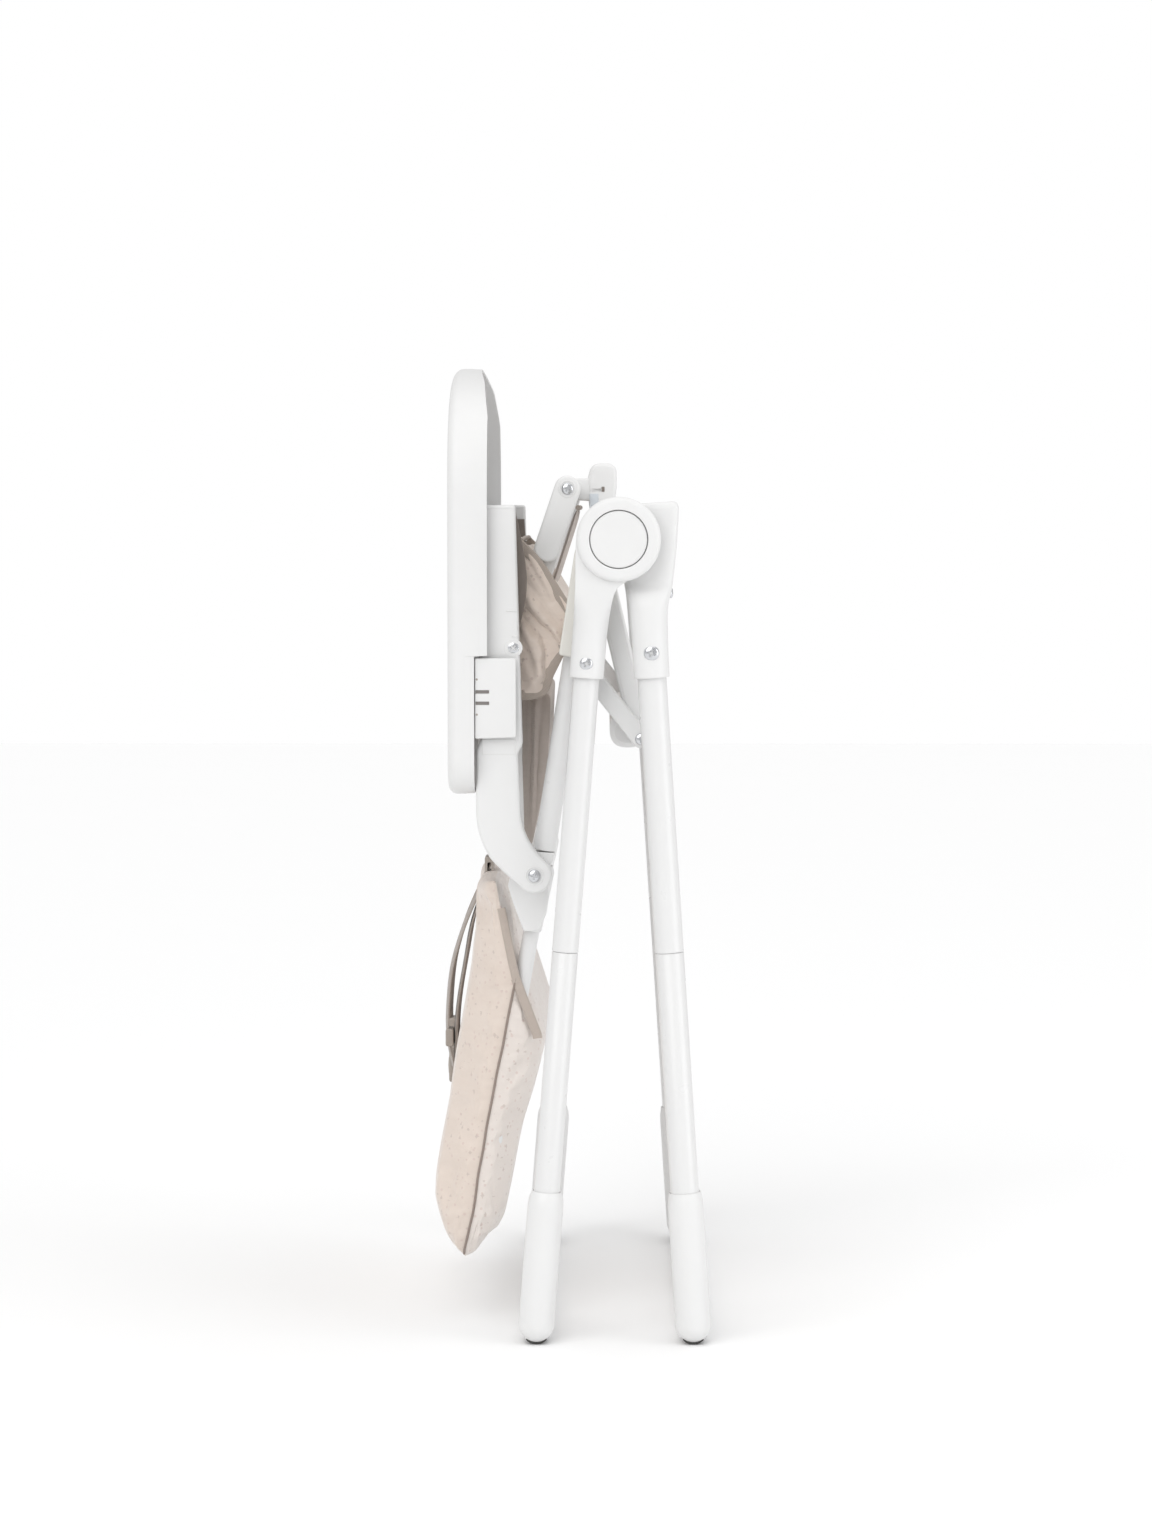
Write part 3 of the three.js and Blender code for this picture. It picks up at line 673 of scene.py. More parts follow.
class Finish:
    """A material being built: its node tree, its shader, and the colour and heights gathered so far."""

    def __init__(self, name, base):
        self.material = bpy.data.materials.new(name)
        self.material.use_nodes = True
        self.tree = self.material.node_tree
        self.shader = self.tree.nodes["Principled BSDF"]
        self.colour = None
        self.base = base
        self.heights = []

    def set(self, **values):
        """Sets values that are the same all over on the shader's own sockets."""
        for name, value in values.items():
            self.shader.inputs[name.replace("_", " ")].default_value = value
        return self

    def group(self, name, **values):
        """Adds one of the shared node groups, with its values."""
        node = self.tree.nodes.new("ShaderNodeGroup")
        node.node_tree = GROUPS[name]
        for socket, value in values.items():
            node.inputs[socket.replace("_", " ")].default_value = value
        return node

    def mix(self, mask, other, amount=1.0):
        """Mixes another colour in where the mask is high."""
        node = self.tree.nodes.new("ShaderNodeMix")
        node.data_type = "RGBA"
        factor = math_node(self.tree, "MULTIPLY", mask, amount)
        self.tree.links.new(factor, node.inputs["Factor"])
        if self.colour is None:
            node.inputs["A"].default_value = self.base
        else:
            self.tree.links.new(self.colour, node.inputs["A"])
        node.inputs["B"].default_value = other
        self.colour = node.outputs["Result"]
        return self

    def roughness(self, mask, low, high):
        """Lets the mask move the roughness between two values."""
        node = self.tree.nodes.new("ShaderNodeMapRange")
        node.inputs["To Min"].default_value = low
        node.inputs["To Max"].default_value = high
        self.tree.links.new(mask, node.inputs["Value"])
        self.tree.links.new(node.outputs["Result"], self.shader.inputs["Roughness"])
        return self

    def bump(self, height, depth):
        """Adds a height with the depth of its relief, in metres."""
        self.heights.append((height, depth))
        return self

    def done(self, slot):
        """Links the colour and the heights to the shader, and gives the material with its slot."""
        if self.colour is not None:
            self.tree.links.new(self.colour, self.shader.inputs["Base Color"])
        else:
            self.shader.inputs["Base Color"].default_value = self.base
        below = None
        for height, depth in self.heights:
            node = self.tree.nodes.new("ShaderNodeBump")
            node.inputs["Distance"].default_value = depth
            node.inputs["Strength"].default_value = 1.0
            self.tree.links.new(height, node.inputs["Height"])
            if below is not None:
                self.tree.links.new(below, node.inputs["Normal"])
            below = node.outputs["Normal"]
        if below is not None:
            self.tree.links.new(below, self.shader.inputs["Normal"])
        return {"material": self.material, "slot": slot}


WARM_GREY = colour(0.62, 0.60, 0.57)
THREAD = colour(0.42, 0.36, 0.32)


def hard_white(name, base, slot, low, high, grain_depth, scale, coat=0.0):
    """White paint or plastic: fine grain, worn edges, a little dust."""
    finish = Finish(name, base)
    grain = finish.group("fine_grain", Scale=scale)
    wear = finish.group("edge_wear", Amount=1.0)
    dust = finish.group("settled_dust", Amount=0.5)
    finish.mix(grain.outputs["Mask"], colour(base[0] * 0.95, base[1] * 0.945, base[2] * 0.94), 0.5)
    finish.mix(wear.outputs["Mask"], WARM_GREY, 0.22)
    finish.mix(dust.outputs["Mask"], WARM_GREY, 0.16)
    finish.roughness(grain.outputs["Mask"], low, high)
    finish.bump(grain.outputs["Height"], grain_depth)
    finish.set(IOR=1.48, Coat_Weight=coat, Coat_Roughness=0.22)
    return finish.done(slot)


def chrome():
    """Bright plated steel, a little dulled along its edges."""
    finish = Finish("plated_screw", colour(0.66, 0.67, 0.69))
    grain = finish.group("fine_grain", Scale=1400.0, Broad_scale=300.0)
    wear = finish.group("edge_wear", Amount=1.0)
    finish.mix(wear.outputs["Mask"], colour(0.32, 0.32, 0.33), 0.5)
    finish.mix(grain.outputs["Mask"], colour(0.55, 0.56, 0.58), 0.4)
    finish.roughness(grain.outputs["Mask"], 0.12, 0.34)
    finish.bump(grain.outputs["Height"], 0.02 * MM)
    finish.set(Metallic=1.0)
    return finish.done("steel")


def dark_rubber():
    """Black rubber, greyed by the dust of the floor."""
    finish = Finish("floor_rubber", colour(0.045, 0.044, 0.042))
    grain = finish.group("fine_grain", Scale=700.0)
    dust = finish.group("settled_dust", Amount=0.8)
    finish.mix(grain.outputs["Mask"], colour(0.08, 0.078, 0.075), 0.7)
    finish.mix(dust.outputs["Mask"], WARM_GREY, 0.4)
    finish.roughness(grain.outputs["Mask"], 0.7, 0.95)
    finish.bump(grain.outputs["Height"], 0.15 * MM)
    return finish.done("rubber")


def satin_print(name, base, fold_shade, relief):
    """The printed satin of the covers: woven sheen, soft folds with painted shade along them, and small
    scattered marks.
    """
    finish = Finish(name, base)
    weave = finish.group("cloth_weave", Threads=4200.0)
    folds = finish.group("drape_folds", Scale=24.0)
    marks = finish.group("scattered_print")
    # painted fold shade: the colour darkens towards the fold shade colour along the fold pattern
    finish.mix(folds.outputs["Shade"], fold_shade, 0.75)
    finish.mix(weave.outputs["Yarn"], colour(base[0] * 1.08, base[1] * 1.06, base[2] * 1.04), 0.3)
    finish.mix(marks.outputs["Sparkles"], colour(0.50, 0.42, 0.38), 0.55)
    finish.mix(marks.outputs["Dots"], colour(0.60, 0.47, 0.43), 0.5)
    finish.roughness(folds.outputs["Shade"], 0.36, 0.62)
    finish.bump(folds.outputs["Height"], relief)
    finish.bump(weave.outputs["Height"], 0.035 * MM)
    finish.set(Sheen_Weight=0.35, Sheen_Roughness=0.45, IOR=1.46)
    return finish.done("satin_cloth")


def plain_cloth(name, base, light, slot, threads, relief, low=0.7, high=0.92):
    """Dull woven cloth or webbing in one colour, with painted shade along its folds."""
    finish = Finish(name, base)
    weave = finish.group("cloth_weave", Threads=threads, Slub=0.8)
    folds = finish.group("drape_folds", Scale=40.0)
    finish.mix(weave.outputs["Yarn"], light, 0.6)
    # painted fold shade: the cloth darkens along the fold pattern
    finish.mix(folds.outputs["Shade"], colour(base[0] * 0.7, base[1] * 0.7, base[2] * 0.7), 0.35)
    finish.roughness(weave.outputs["Yarn"], low, high)
    finish.bump(folds.outputs["Height"], relief)
    finish.bump(weave.outputs["Height"], 0.12 * MM)
    finish.set(Sheen_Weight=0.25, Sheen_Roughness=0.5)
    return finish.done(slot)


def bound_tape():
    """The folded binding on the cover's edges, with its row of stitches."""
    finish = Finish("bound_tape", colour(0.43, 0.365, 0.315))
    weave = finish.group("cloth_weave", Threads=3600.0, Slub=0.6)
    stitches = finish.group("stitches")
    finish.mix(weave.outputs["Yarn"], colour(0.54, 0.47, 0.42), 0.6)
    finish.mix(stitches.outputs["Thread"], THREAD, 0.6)
    finish.roughness(weave.outputs["Yarn"], 0.55, 0.85)
    finish.bump(weave.outputs["Height"], 0.08 * MM)
    finish.bump(stitches.outputs["Height"], 0.06 * MM)
    finish.set(Sheen_Weight=0.3)
    return finish.done("webbing")


def tinted_plastic(name, base, slot):
    """Coloured moulded plastic with paler edges."""
    finish = Finish(name, base)
    grain = finish.group("fine_grain", Scale=1100.0)
    wear = finish.group("edge_wear", Amount=1.0)
    finish.mix(grain.outputs["Mask"], colour(base[0] * 0.85, base[1] * 0.84, base[2] * 0.83), 0.5)
    finish.mix(wear.outputs["Mask"], WARM_GREY, 0.35)
    finish.roughness(grain.outputs["Mask"], 0.35, 0.55)
    finish.bump(grain.outputs["Height"], 0.03 * MM)
    return finish.done(slot)


SLOT_SHADE = tinted_plastic("slot_shade", colour(0.24, 0.22, 0.21), "buckle_plastic")

ENAMEL = hard_white("white_enamel", colour(0.74, 0.74, 0.738), "white_enamel", 0.24, 0.36,
                    0.02 * MM, 500.0, coat=0.25)
PLASTIC = hard_white("white_plastic", colour(0.755, 0.755, 0.752), "white_plastic", 0.36, 0.5,
                     0.03 * MM, 1500.0)
# a cream-tinted copy of the white plastic for the rail sleeves: the tint is painted warm shade
WHITE_PLASTIC_WARM_SHADE = hard_white("white_plastic_painted_warm_shade", colour(0.72, 0.705, 0.66), "white_plastic", 0.36, 0.5,
                   0.03 * MM, 1500.0)
# a paler copy of the printed satin for the back half of the pad: its extra lightness is painted sheen
SATIN_PAINTED_SHEEN = satin_print("satin_painted_sheen", colour(0.74, 0.685, 0.645), colour(0.66, 0.595, 0.55), 1.0 * MM)

CHROME = chrome()
RUBBER = dark_rubber()
SATIN = satin_print("printed_satin", colour(0.72, 0.635, 0.57), colour(0.60, 0.505, 0.44), 1.2 * MM)
# a lighter copy of the printed satin for the calf sleeve: its extra lightness is painted light that makes up
# for the shade of its crumples
SATIN_CRUMPLED_PAINTED_LIGHT = satin_print("crumpled_satin_painted_light", colour(0.82, 0.72, 0.645), colour(0.66, 0.56, 0.49), 2.0 * MM)
LINING = plain_cloth("taupe_lining", colour(0.44, 0.38, 0.34), colour(0.54, 0.48, 0.44),
                     "lining_cloth", 2600.0, 0.8 * MM)
WEBBING = plain_cloth("ribbed_webbing", colour(0.33, 0.285, 0.25), colour(0.45, 0.40, 0.36),
                      "webbing", 3000.0, 0.1 * MM, 0.55, 0.8)
TAPE = bound_tape()
PIPING = plain_cloth("dark_piping", colour(0.27, 0.215, 0.185), colour(0.36, 0.30, 0.26),
                     "webbing", 3800.0, 0.05 * MM)
BUCKLE = tinted_plastic("buckle_plastic", colour(0.36, 0.32, 0.285), "buckle_plastic")
# dark plastic put where there is shade: the plate inside the arm's upper rail and the mark at the end of the
# footrest's side slot are painted shade
DARK_PAINTED_SHADE = tinted_plastic("dark_painted_shade_plastic", colour(0.19, 0.16, 0.14), "buckle_plastic")
BUTTON_PLASTIC = tinted_plastic("buckle_button", colour(0.50, 0.45, 0.41), "buckle_plastic")
LATCH = tinted_plastic("latch_plastic", colour(0.62, 0.66, 0.70), "white_plastic")


# ---------------------------------------------------------------- tubes, sleeves and feet


def bar_piece(node, body, finish=ENAMEL, lip=0.6 * MM):
    """A straight tube in place of its CAD node, with the same line, radius, bore and length."""
    centre, run = axis_of(node)
    start, end = stretch(node, centre, run)
    bore, radius = girth(node, centre, run)
    profile = [
        (bore, start), (radius - lip, start), (radius, start + lip),
        (radius, end - lip), (radius - lip, end), (bore, end), (bore, start),
    ]
    if bore < 0.5 * MM:
        profile = [(0, start), *profile[1:5], (0, end)]
    return add_piece(f"{node}_round", [turned(profile, centre, run)], finish, body, [node])


class Leg:
    """The line of a leg, measured downwards from the height of the hub."""

    def __init__(self, prefix, side_name):
        upper = f"{prefix}_leg_upper_{side_name}"
        self.prefix, self.side_name = prefix, side_name
        self.side = SIDES[side_name]
        self.body = f"{prefix}_frame"
        centre, self.run = axis_of(upper)
        hub = Vector((HUB.x, centre.y, HUB.z))
        self.origin = centre + self.run * (hub - centre).dot(self.run)
        self.across = Vector((-self.run.z, 0, self.run.x))
        self.radius = girth(upper, self.origin, self.run)[1]

    def node(self, part):
        """The name of one of the leg's CAD nodes."""
        return f"{self.prefix}_{part}_{self.side_name}"

    def reach(self, part):
        """Where one of the leg's nodes starts and ends along the leg."""
        return stretch(self.node(part), self.origin, self.run)


FOOT_RADIUS = 17.4 * MM


def leg_tubes(leg):
    """The upper tube ends in a rolled lip, and the lower one is necked to go into it."""
    wall = 1.5 * MM
    start, seam = leg.reach("leg_upper")
    end = leg.reach("leg_lower")[1]
    radius, lip = leg.radius, 0.7 * MM
    upper = [
        (radius - wall, start), (radius, start), (radius, seam - 3 * lip),
        (radius + 0.2 * MM, seam - 1.5 * lip), (radius - 0.2 * MM, seam - 0.3 * lip),
        (radius - wall, seam), (radius - wall, start),
    ]
    neck = radius - wall - 0.3 * MM
    lower = [
        (neck - wall, seam - 30 * MM), (neck, seam - 30 * MM), (neck, seam + 0.2 * MM),
        (radius - lip, seam + 0.3 * MM), (radius - 0.1 * MM, seam + 1.2 * MM),
        (radius - 0.1 * MM, end), (neck - wall, end), (neck - wall, seam - 30 * MM),
    ]
    for part, profile in (("leg_upper", upper), ("leg_lower", lower)):
        node = leg.node(part)
        add_piece(f"{node}_tube", [turned(profile, leg.origin, leg.run)], ENAMEL, leg.body, [node])


def foot_piece(leg):
    """The moulded foot: a long sleeve with a sloped shoulder, a round toe and a socket for the bar."""
    top, bottom = leg.reach("foot")
    radius, tube = FOOT_RADIUS, leg.radius
    sleeve_floor = top + 20 * MM
    toe = bottom - radius
    profile = [
        (0, sleeve_floor), (tube + 0.3 * MM, sleeve_floor), (tube + 0.3 * MM, top + 0.6 * MM),
        (tube + 0.9 * MM, top), (tube + 1.6 * MM, top + 0.3 * MM), (radius - 1.1 * MM, top + 5.5 * MM),
        (radius - 0.35 * MM, top + 9 * MM), (radius, top + 14 * MM), (radius, toe),
    ]
    steps = 12
    for step in range(1, steps):
        angle = math.pi / 2 * step / steps
        profile.append((radius * math.cos(angle), toe + radius * math.sin(angle)))
    profile.append((0, bottom))
    centre = leg.origin + leg.run * toe
    inner, leg_y = layers(leg.node("foot"))[0], abs(leg.origin.y)
    bar_radius, bar_end = 12.4 * MM, inner + 22 * MM
    socket_radius = radius - 1.6 * MM
    socket = [
        (0, bar_end), (bar_radius, bar_end), (bar_radius, inner + 0.8 * MM),
        (bar_radius + 0.8 * MM, inner), (socket_radius - 1 * MM, inner), (socket_radius, inner + 1.2 * MM),
        (socket_radius + 0.6 * MM, leg_y - 12 * MM), (socket_radius, leg_y), (0, leg_y),
    ]
    shapes = [turned(profile, leg.origin, leg.run), pin(socket, centre, leg.side)]
    node = leg.node("foot")
    add_piece(f"{node}_shell", shapes, PLASTIC, leg.body, [node])


def floor_pad(leg):
    """The rubber shoe: a crescent under the foot, thickest where it meets the floor."""
    node = leg.node("floor_pad")
    low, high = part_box(node)
    centre = leg.origin + leg.run * (leg.reach("foot")[1] - FOOT_RADIUS)
    flat_centre = Vector((centre.x, centre.z))
    extra = centre.z - low.z - FOOT_RADIUS
    spread, steps = math.radians(36), 24
    outer, inner = [], []
    for step in range(steps + 1):
        angle = spread * (2 * step / steps - 1)
        reach = FOOT_RADIUS - 0.2 * MM + extra * math.cos(angle / spread * math.pi / 2) ** 0.7
        down = Vector((math.sin(angle), -math.cos(angle)))
        outer.append(flat_centre + down * reach)
        inner.append(flat_centre + down * (FOOT_RADIUS - 1.5 * MM))
    shape = plate([*outer, *reversed(inner)], low.y + 2 * MM, high.y - 2 * MM, 0.1 * MM, steps=2)
    add_piece(f"{node}_shoe", [shape], RUBBER, leg.body, [node])


# ---------------------------------------------------------------- hub


HUB_CORE = 38.4 * MM


def hub_ring(side_name):
    """The outer disc: a broad round-edged ring with a well for the button."""
    outer_face = layers(f"rear_hub_{side_name}")[1]
    button_low, button_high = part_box(f"hub_button_{side_name}")
    well = (button_high.x - button_low.x) / 2 + 0.55 * MM
    well_floor = outer_face - 11.5 * MM
    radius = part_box(f"rear_hub_{side_name}")[1].x - HUB.x
    back = layers(f"front_hub_{side_name}")[1] + 0.5 * MM
    corners = [
        (0, back), (radius, back, 1.5 * MM), (radius, outer_face, 5.5 * MM),
        (well + 0.2 * MM, outer_face, 1.1 * MM), (well, well_floor), (0, well_floor),
    ]
    return pin(soft_profile(corners, 8), HUB, SIDES[side_name], sides=96)


def housing(leg, stations):
    """A moulded sleeve that grows out of the tube's round section into the flat cheek of the hub."""
    rings = []
    for along, shift, half_width, inner, outer, power in stations:
        middle_y = leg.side * (inner + outer) / 2
        centre = leg.origin + leg.run * along + leg.across * shift
        centre.y = middle_y
        rings.append(superellipse(centre, leg.across, ACROSS, half_width, (outer - inner) / 2, power))
    return bridge(rings)


def graded(stations, steps=5):
    """More stations between the given ones, along smooth curves."""
    table = np.array(stations, float)
    where = np.linspace(0, len(table) - 1, (len(table) - 1) * steps + 1)
    result = []
    for w in where:
        i = min(int(w), len(table) - 2)
        t = w - i
        before, after = table[max(i - 1, 0)], table[min(i + 2, len(table) - 1)]
        a, b = table[i], table[i + 1]
        first = np.where((b - a) * (a - before) > 0, (b - before) / 2, 0)
        last = np.where((after - b) * (b - a) > 0, (after - a) / 2, 0)
        row = (a * (2 * t**3 - 3 * t**2 + 1) + b * (3 * t**2 - 2 * t**3)
               + first * (t**3 - 2 * t**2 + t) + last * (t**3 - t**2))
        result.append(tuple(row))
    return result


def rear_hub(leg):
    """The rear leg's sleeve and its neck, which runs up into the side of the outer disc."""
    node = f"rear_hub_{leg.side_name}"
    end = stretch(node, leg.origin, leg.run)[1]
    y, r = abs(leg.origin.y), 16.6 * MM
    back = layers(f"front_hub_{leg.side_name}")[1] + 0.6 * MM
    face = 283 * MM
    ring_edge = 40.4 * MM
    offset = (leg.origin - Vector((HUB.x, leg.origin.y, HUB.z))).dot(leg.across)

    def station(along, left, right, inner, outer, power):
        """A section between two distances in front of and behind the middle of the hub."""
        return (along, (left + right) / 2 - offset, (right - left) / 2, inner, outer, power)

    left, right = offset - r, offset + r
    stations = [
        station(end - 2 * MM, left + 3 * MM, right - 3 * MM, y - r + 3 * MM, y + r - 3 * MM, 2),
        station(end, left + 0.9 * MM, right - 0.9 * MM, y - r + 0.9 * MM, y + r - 0.9 * MM, 2),
        station(end - 1.2 * MM, left, right, y - r, y + r, 2),
        station(end - 34 * MM, left, right, y - r, y + r, 2),
        station(78 * MM, left - 0.2 * MM, right + 0.8 * MM, y - r + 1 * MM, y + r + 1.4 * MM, 2.2),
        station(56 * MM, left - 0.6 * MM, right + 3 * MM, back, face - 0.6 * MM, 2.6),
        station(46 * MM, left - 1 * MM, right + 7 * MM, back, face, 2.9),
        station(38 * MM, left - 1.4 * MM, right + 15 * MM, back, face, 3),
        station(32 * MM, left - 1.8 * MM, right + 13 * MM, back, face, 3),
        station(29.5 * MM, left - 2 * MM, -3 * MM, back, face, 3),
        station(26 * MM, left - 2.2 * MM, -14.5 * MM, back, face, 3),
        station(20 * MM, left - 2.6 * MM, -21.5 * MM, back, face, 3),
        station(8 * MM, -ring_edge, -30 * MM, back, face, 3),
        station(1 * MM, -ring_edge, -32 * MM, back, face - 1 * MM, 3),
    ]
    shapes = [housing(leg, graded(stations)), hub_ring(leg.side_name)]
    add_piece(f"{node}_shell", shapes, PLASTIC, leg.body, [node])
    place = leg.origin + leg.run * (end - 12.4 * MM) - leg.across * 1 * MM
    screw(f"{leg.side_name}_rear_sleeve_screw", place, leg.side, y + r - 1.3 * MM, 6.4 * MM, leg.body)


def front_hub(leg):
    """The front leg's sleeve and the cheek that turns behind the outer disc."""
    node = f"front_hub_{leg.side_name}"
    end = stretch(node, leg.origin, leg.run)[1]
    y, r = abs(leg.origin.y), 17.1 * MM
    inner, outer = layers(node)[0], 265.5 * MM
    stations = [
        (end - 2 * MM, 0, r - 3 * MM, y - r + 3 * MM, y + r - 3 * MM, 2),
        (end, 0, r - 0.9 * MM, y - r + 0.9 * MM, y + r - 0.9 * MM, 2),
        (end - 1.2 * MM, 0, r, y - r, y + r, 2),
        (end - 30 * MM, 0.3 * MM, r + 0.3 * MM, y - r, y + r, 2),
        (70 * MM, 1.0 * MM, 18.6 * MM, inner + 2 * MM, y + r, 2.3),
        (54 * MM, 2.6 * MM, 21.4 * MM, inner, outer + 9 * MM, 2.8),
        (42 * MM, 3.6 * MM, 23 * MM, inner, outer + 0.3 * MM, 3.4),
        (10 * MM, 7 * MM, 25 * MM, inner, outer, 4.5),
        (-22 * MM, 12.3 * MM, 23.6 * MM, inner, outer, 6),
        (-28.5 * MM, 13.2 * MM, 22.6 * MM, inner + 0.4 * MM, outer - 0.4 * MM, 5),
        (-31.6 * MM, 13.5 * MM, 20.6 * MM, inner + 1.6 * MM, outer - 1.6 * MM, 4),
        (-32.8 * MM, 13.6 * MM, 16.5 * MM, inner + 4 * MM, outer - 4 * MM, 4),
    ]
    knuckle = [
        (0, inner), (HUB_CORE - 1 * MM, inner), (HUB_CORE, inner + 1 * MM),
        (HUB_CORE, outer - 1 * MM), (HUB_CORE - 1 * MM, outer), (0, outer),
    ]
    shapes = [
        housing(leg, graded(stations)),
        turned(knuckle, (HUB.x, 0, HUB.z), (0, leg.side, 0), sides=80),
    ]
    add_piece(f"{node}_shell", shapes, PLASTIC, leg.body, [node])
    place = leg.origin + leg.run * (end - 22.6 * MM) + leg.across * 1 * MM
    screw(f"{leg.side_name}_front_sleeve_screw", place, leg.side, y + r - 1.3 * MM, 7.4 * MM, leg.body)
    front_edge, edge_screw_y, edge_screw_height = 93.2 * MM, 254 * MM, 729.6 * MM
    edge_place = Vector((front_edge, leg.side * edge_screw_y, edge_screw_height))
    screw_facing(f"{leg.side_name}_front_edge_screw", edge_place, Vector((1, 0, 0.1)), 6 * MM, leg.body)


def hub_button(side_name):
    """The round cap: a flat face with a soft rim, a little hollow in the middle."""
    node = f"hub_button_{side_name}"
    inner, outer = layers(node)
    low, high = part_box(node)
    radius = (high.x - low.x) / 2
    corners = [
        (0, inner), (radius, inner, 0.5 * MM), (radius, outer, 1.4 * MM),
        (radius - 4 * MM, outer + 0.15 * MM, 8 * MM), (0, outer - 0.9 * MM),
    ]
    shape = pin(soft_profile(corners, 8), HUB, SIDES[side_name], sides=96)
    add_piece(f"{node}_cap", [shape], PLASTIC, node, [node])


# ---------------------------------------------------------------- screws


def cross_head():
    """A low domed screw head with a cross recess, one unit in radius, looking along +Z."""
    steps = 8
    profile = [(0, -0.25), (0.93, -0.25), (1.0, -0.16), (1.0, 0.05)]
    for step in range(1, steps):
        angle = math.pi / 2 * step / steps
        profile.append((0.96 * math.cos(angle), 0.08 + 0.34 * math.sin(angle)))
    profile.append((0, 0.42))
    head = make_mesh("cross_head", turned(profile, (0, 0, 0), (0, 0, 1), sides=40))
    template = add_object("cross_head", head)
    half_slot, reach, floor = 0.12, 0.52, 0.16
    for half_x, half_y in ((reach, half_slot), (half_slot, reach)):
        corners = [(-half_x, floor), (half_x, floor), (half_x * 1.15, 1), (-half_x * 1.15, 1)]
        carve(template, plate([Vector(c) for c in corners], -half_y, half_y, 0.001, steps=1))
    mesh = template.data
    bpy.data.objects.remove(template)
    return mesh


CROSS_HEAD = cross_head()


def add_screw(name, placing, body):
    """A copy of the cross head, sized, turned and moved by a matrix."""
    mesh = CROSS_HEAD.copy()
    mesh.transform(placing)
    piece = add_object(name, mesh)
    shade(mesh, 30)
    mesh.materials.clear()
    mesh.materials.append(CHROME["material"])
    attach(piece, body)


def screw(name, centre, side, layer, radius, body, flatten=1.0, turn=0.4):
    """A screw head on a face that looks outwards at a distance from the middle of the chair."""
    to_side = Matrix.Rotation(math.radians(-90 * side), 4, "X")
    place = Matrix.Translation((centre[0], side * layer, centre[2]))
    spin = Matrix.Rotation(turn * side, 4, "Z")
    size = Matrix.Diagonal((radius, radius, radius * flatten, 1))
    add_screw(name, place @ to_side @ spin @ size, body)


def screw_facing(name, centre, direction, radius, body):
    """A screw head on an edge, looking along a direction."""
    turn = Vector((0, 0, 1)).rotation_difference(direction.normalized()).to_matrix().to_4x4()
    size = Matrix.Diagonal((radius, radius, radius, 1))
    add_screw(name, Matrix.Translation(centre) @ turn @ size, body)


def washer(centre, side, layer, radius):
    """A shallow moulded seat round a screw head."""
    back, rim = layer - 1.2 * MM, layer + 0.5 * MM
    corners = [
        (0, back), (radius, back), (radius, rim, 0.4 * MM), (radius - 1.4 * MM, rim, 0.3 * MM),
        (radius - 1.8 * MM, layer + 0.05 * MM), (0, layer),
    ]
    return pin(soft_profile(corners, 3), centre, side)


# ---------------------------------------------------------------- plates cut after their CAD nodes


def plate_piece(node, body, finish, corner, edge, extra=(), name=None):
    """A moulded plate in place of its CAD node, with smooth curves and round rims."""
    outline, (low, high) = face_outline(node)
    shapes = [plate(smoothed(outline, corner), low, high, edge), *extra]
    return add_piece(name or f"{node}_moulded", shapes, finish, body, [node])


# ---------------------------------------------------------------- seat rails


def rail_line(side_name):
    """The middle of a rail's tube and the direction it runs in."""
    return axis_of(f"rail_tube_{side_name}")


def rail_hub(side_name):
    """The rail's upper sleeve: a disc on the hub, a flat neck, and a box round the tube's top."""
    side = SIDES[side_name]
    node = f"rail_hub_{side_name}"
    centre, run = rail_line(side_name)
    across = Vector((-run.z, 0, run.x))
    hub = Vector((HUB.x, centre.y, HUB.z))
    top = (hub - centre).dot(run)
    foot = stretch(node, centre, run)[1]
    inner, outer = 216.2 * MM, layers(node)[1] - 0.2 * MM
    half, half_deep, box_middle = 15.4 * MM, 13.4 * MM, 203.6 * MM

    def corner(along, shift, radius):
        """A corner of the neck, in the tube's own directions."""
        point = centre + run * along + across * shift
        return (point.x, point.z, radius)

    neck = [
        corner(foot, -half, 3 * MM), corner(foot, half, 3 * MM), corner(foot - 48 * MM, half, 12 * MM),
        (HUB.x - 4 * MM, HUB.z - 35 * MM, 2 * MM), (HUB.x, HUB.z, 2 * MM),
        (HUB.x - 20 * MM, HUB.z + 24 * MM, 10 * MM), corner(top + 16 * MM, -half, 22 * MM),
    ]
    radius = 36.4 * MM
    disc = [(0, inner), (radius, inner, 1 * MM), (radius, outer, 2.5 * MM), (0, outer)]
    rings = []
    for drop, shrink in ((0, 1.2 * MM), (1.2 * MM, 0), (44 * MM, 0), (47 * MM, 3 * MM)):
        place = centre + run * (foot - drop)
        place.y = side * box_middle
        half_wide = half - 0.3 * MM - shrink
        rings.append(superellipse(place, across, ACROSS, half_wide, half_deep - shrink, 5))
    shapes = [
        plate(rounded(neck, 0.0), *sided(side, inner, outer), 2.2 * MM),
        pin(soft_profile(disc, 5), HUB, side),
        bridge(rings),
    ]
    # the sleeve takes the cream-tinted copy of the white plastic, painted warm shade
    add_piece(f"{node}_sleeve", shapes, WHITE_PLASTIC_WARM_SHADE, "seat_rails", [node])


def rail_end(side_name):
    """The fitting that plugs the rail's lower end and carries the seat pivot."""
    node = f"rail_end_{side_name}"
    inner, outer = layers(node)
    profile = [
        (0, inner), (12.6 * MM, inner), (13 * MM, inner + 0.6 * MM),
        (13 * MM, outer - 0.6 * MM), (12.6 * MM, outer), (0, outer),
    ]
    outline, (low, high) = face_outline(node)
    shapes = [
        plate(smoothed(outline, 1 * MM), low, high, 1 * MM),
        pin(profile, SEAT_PIVOT, SIDES[side_name]),
    ]
    add_piece(f"{node}_plug", shapes, PLASTIC, "seat_rails", [node])


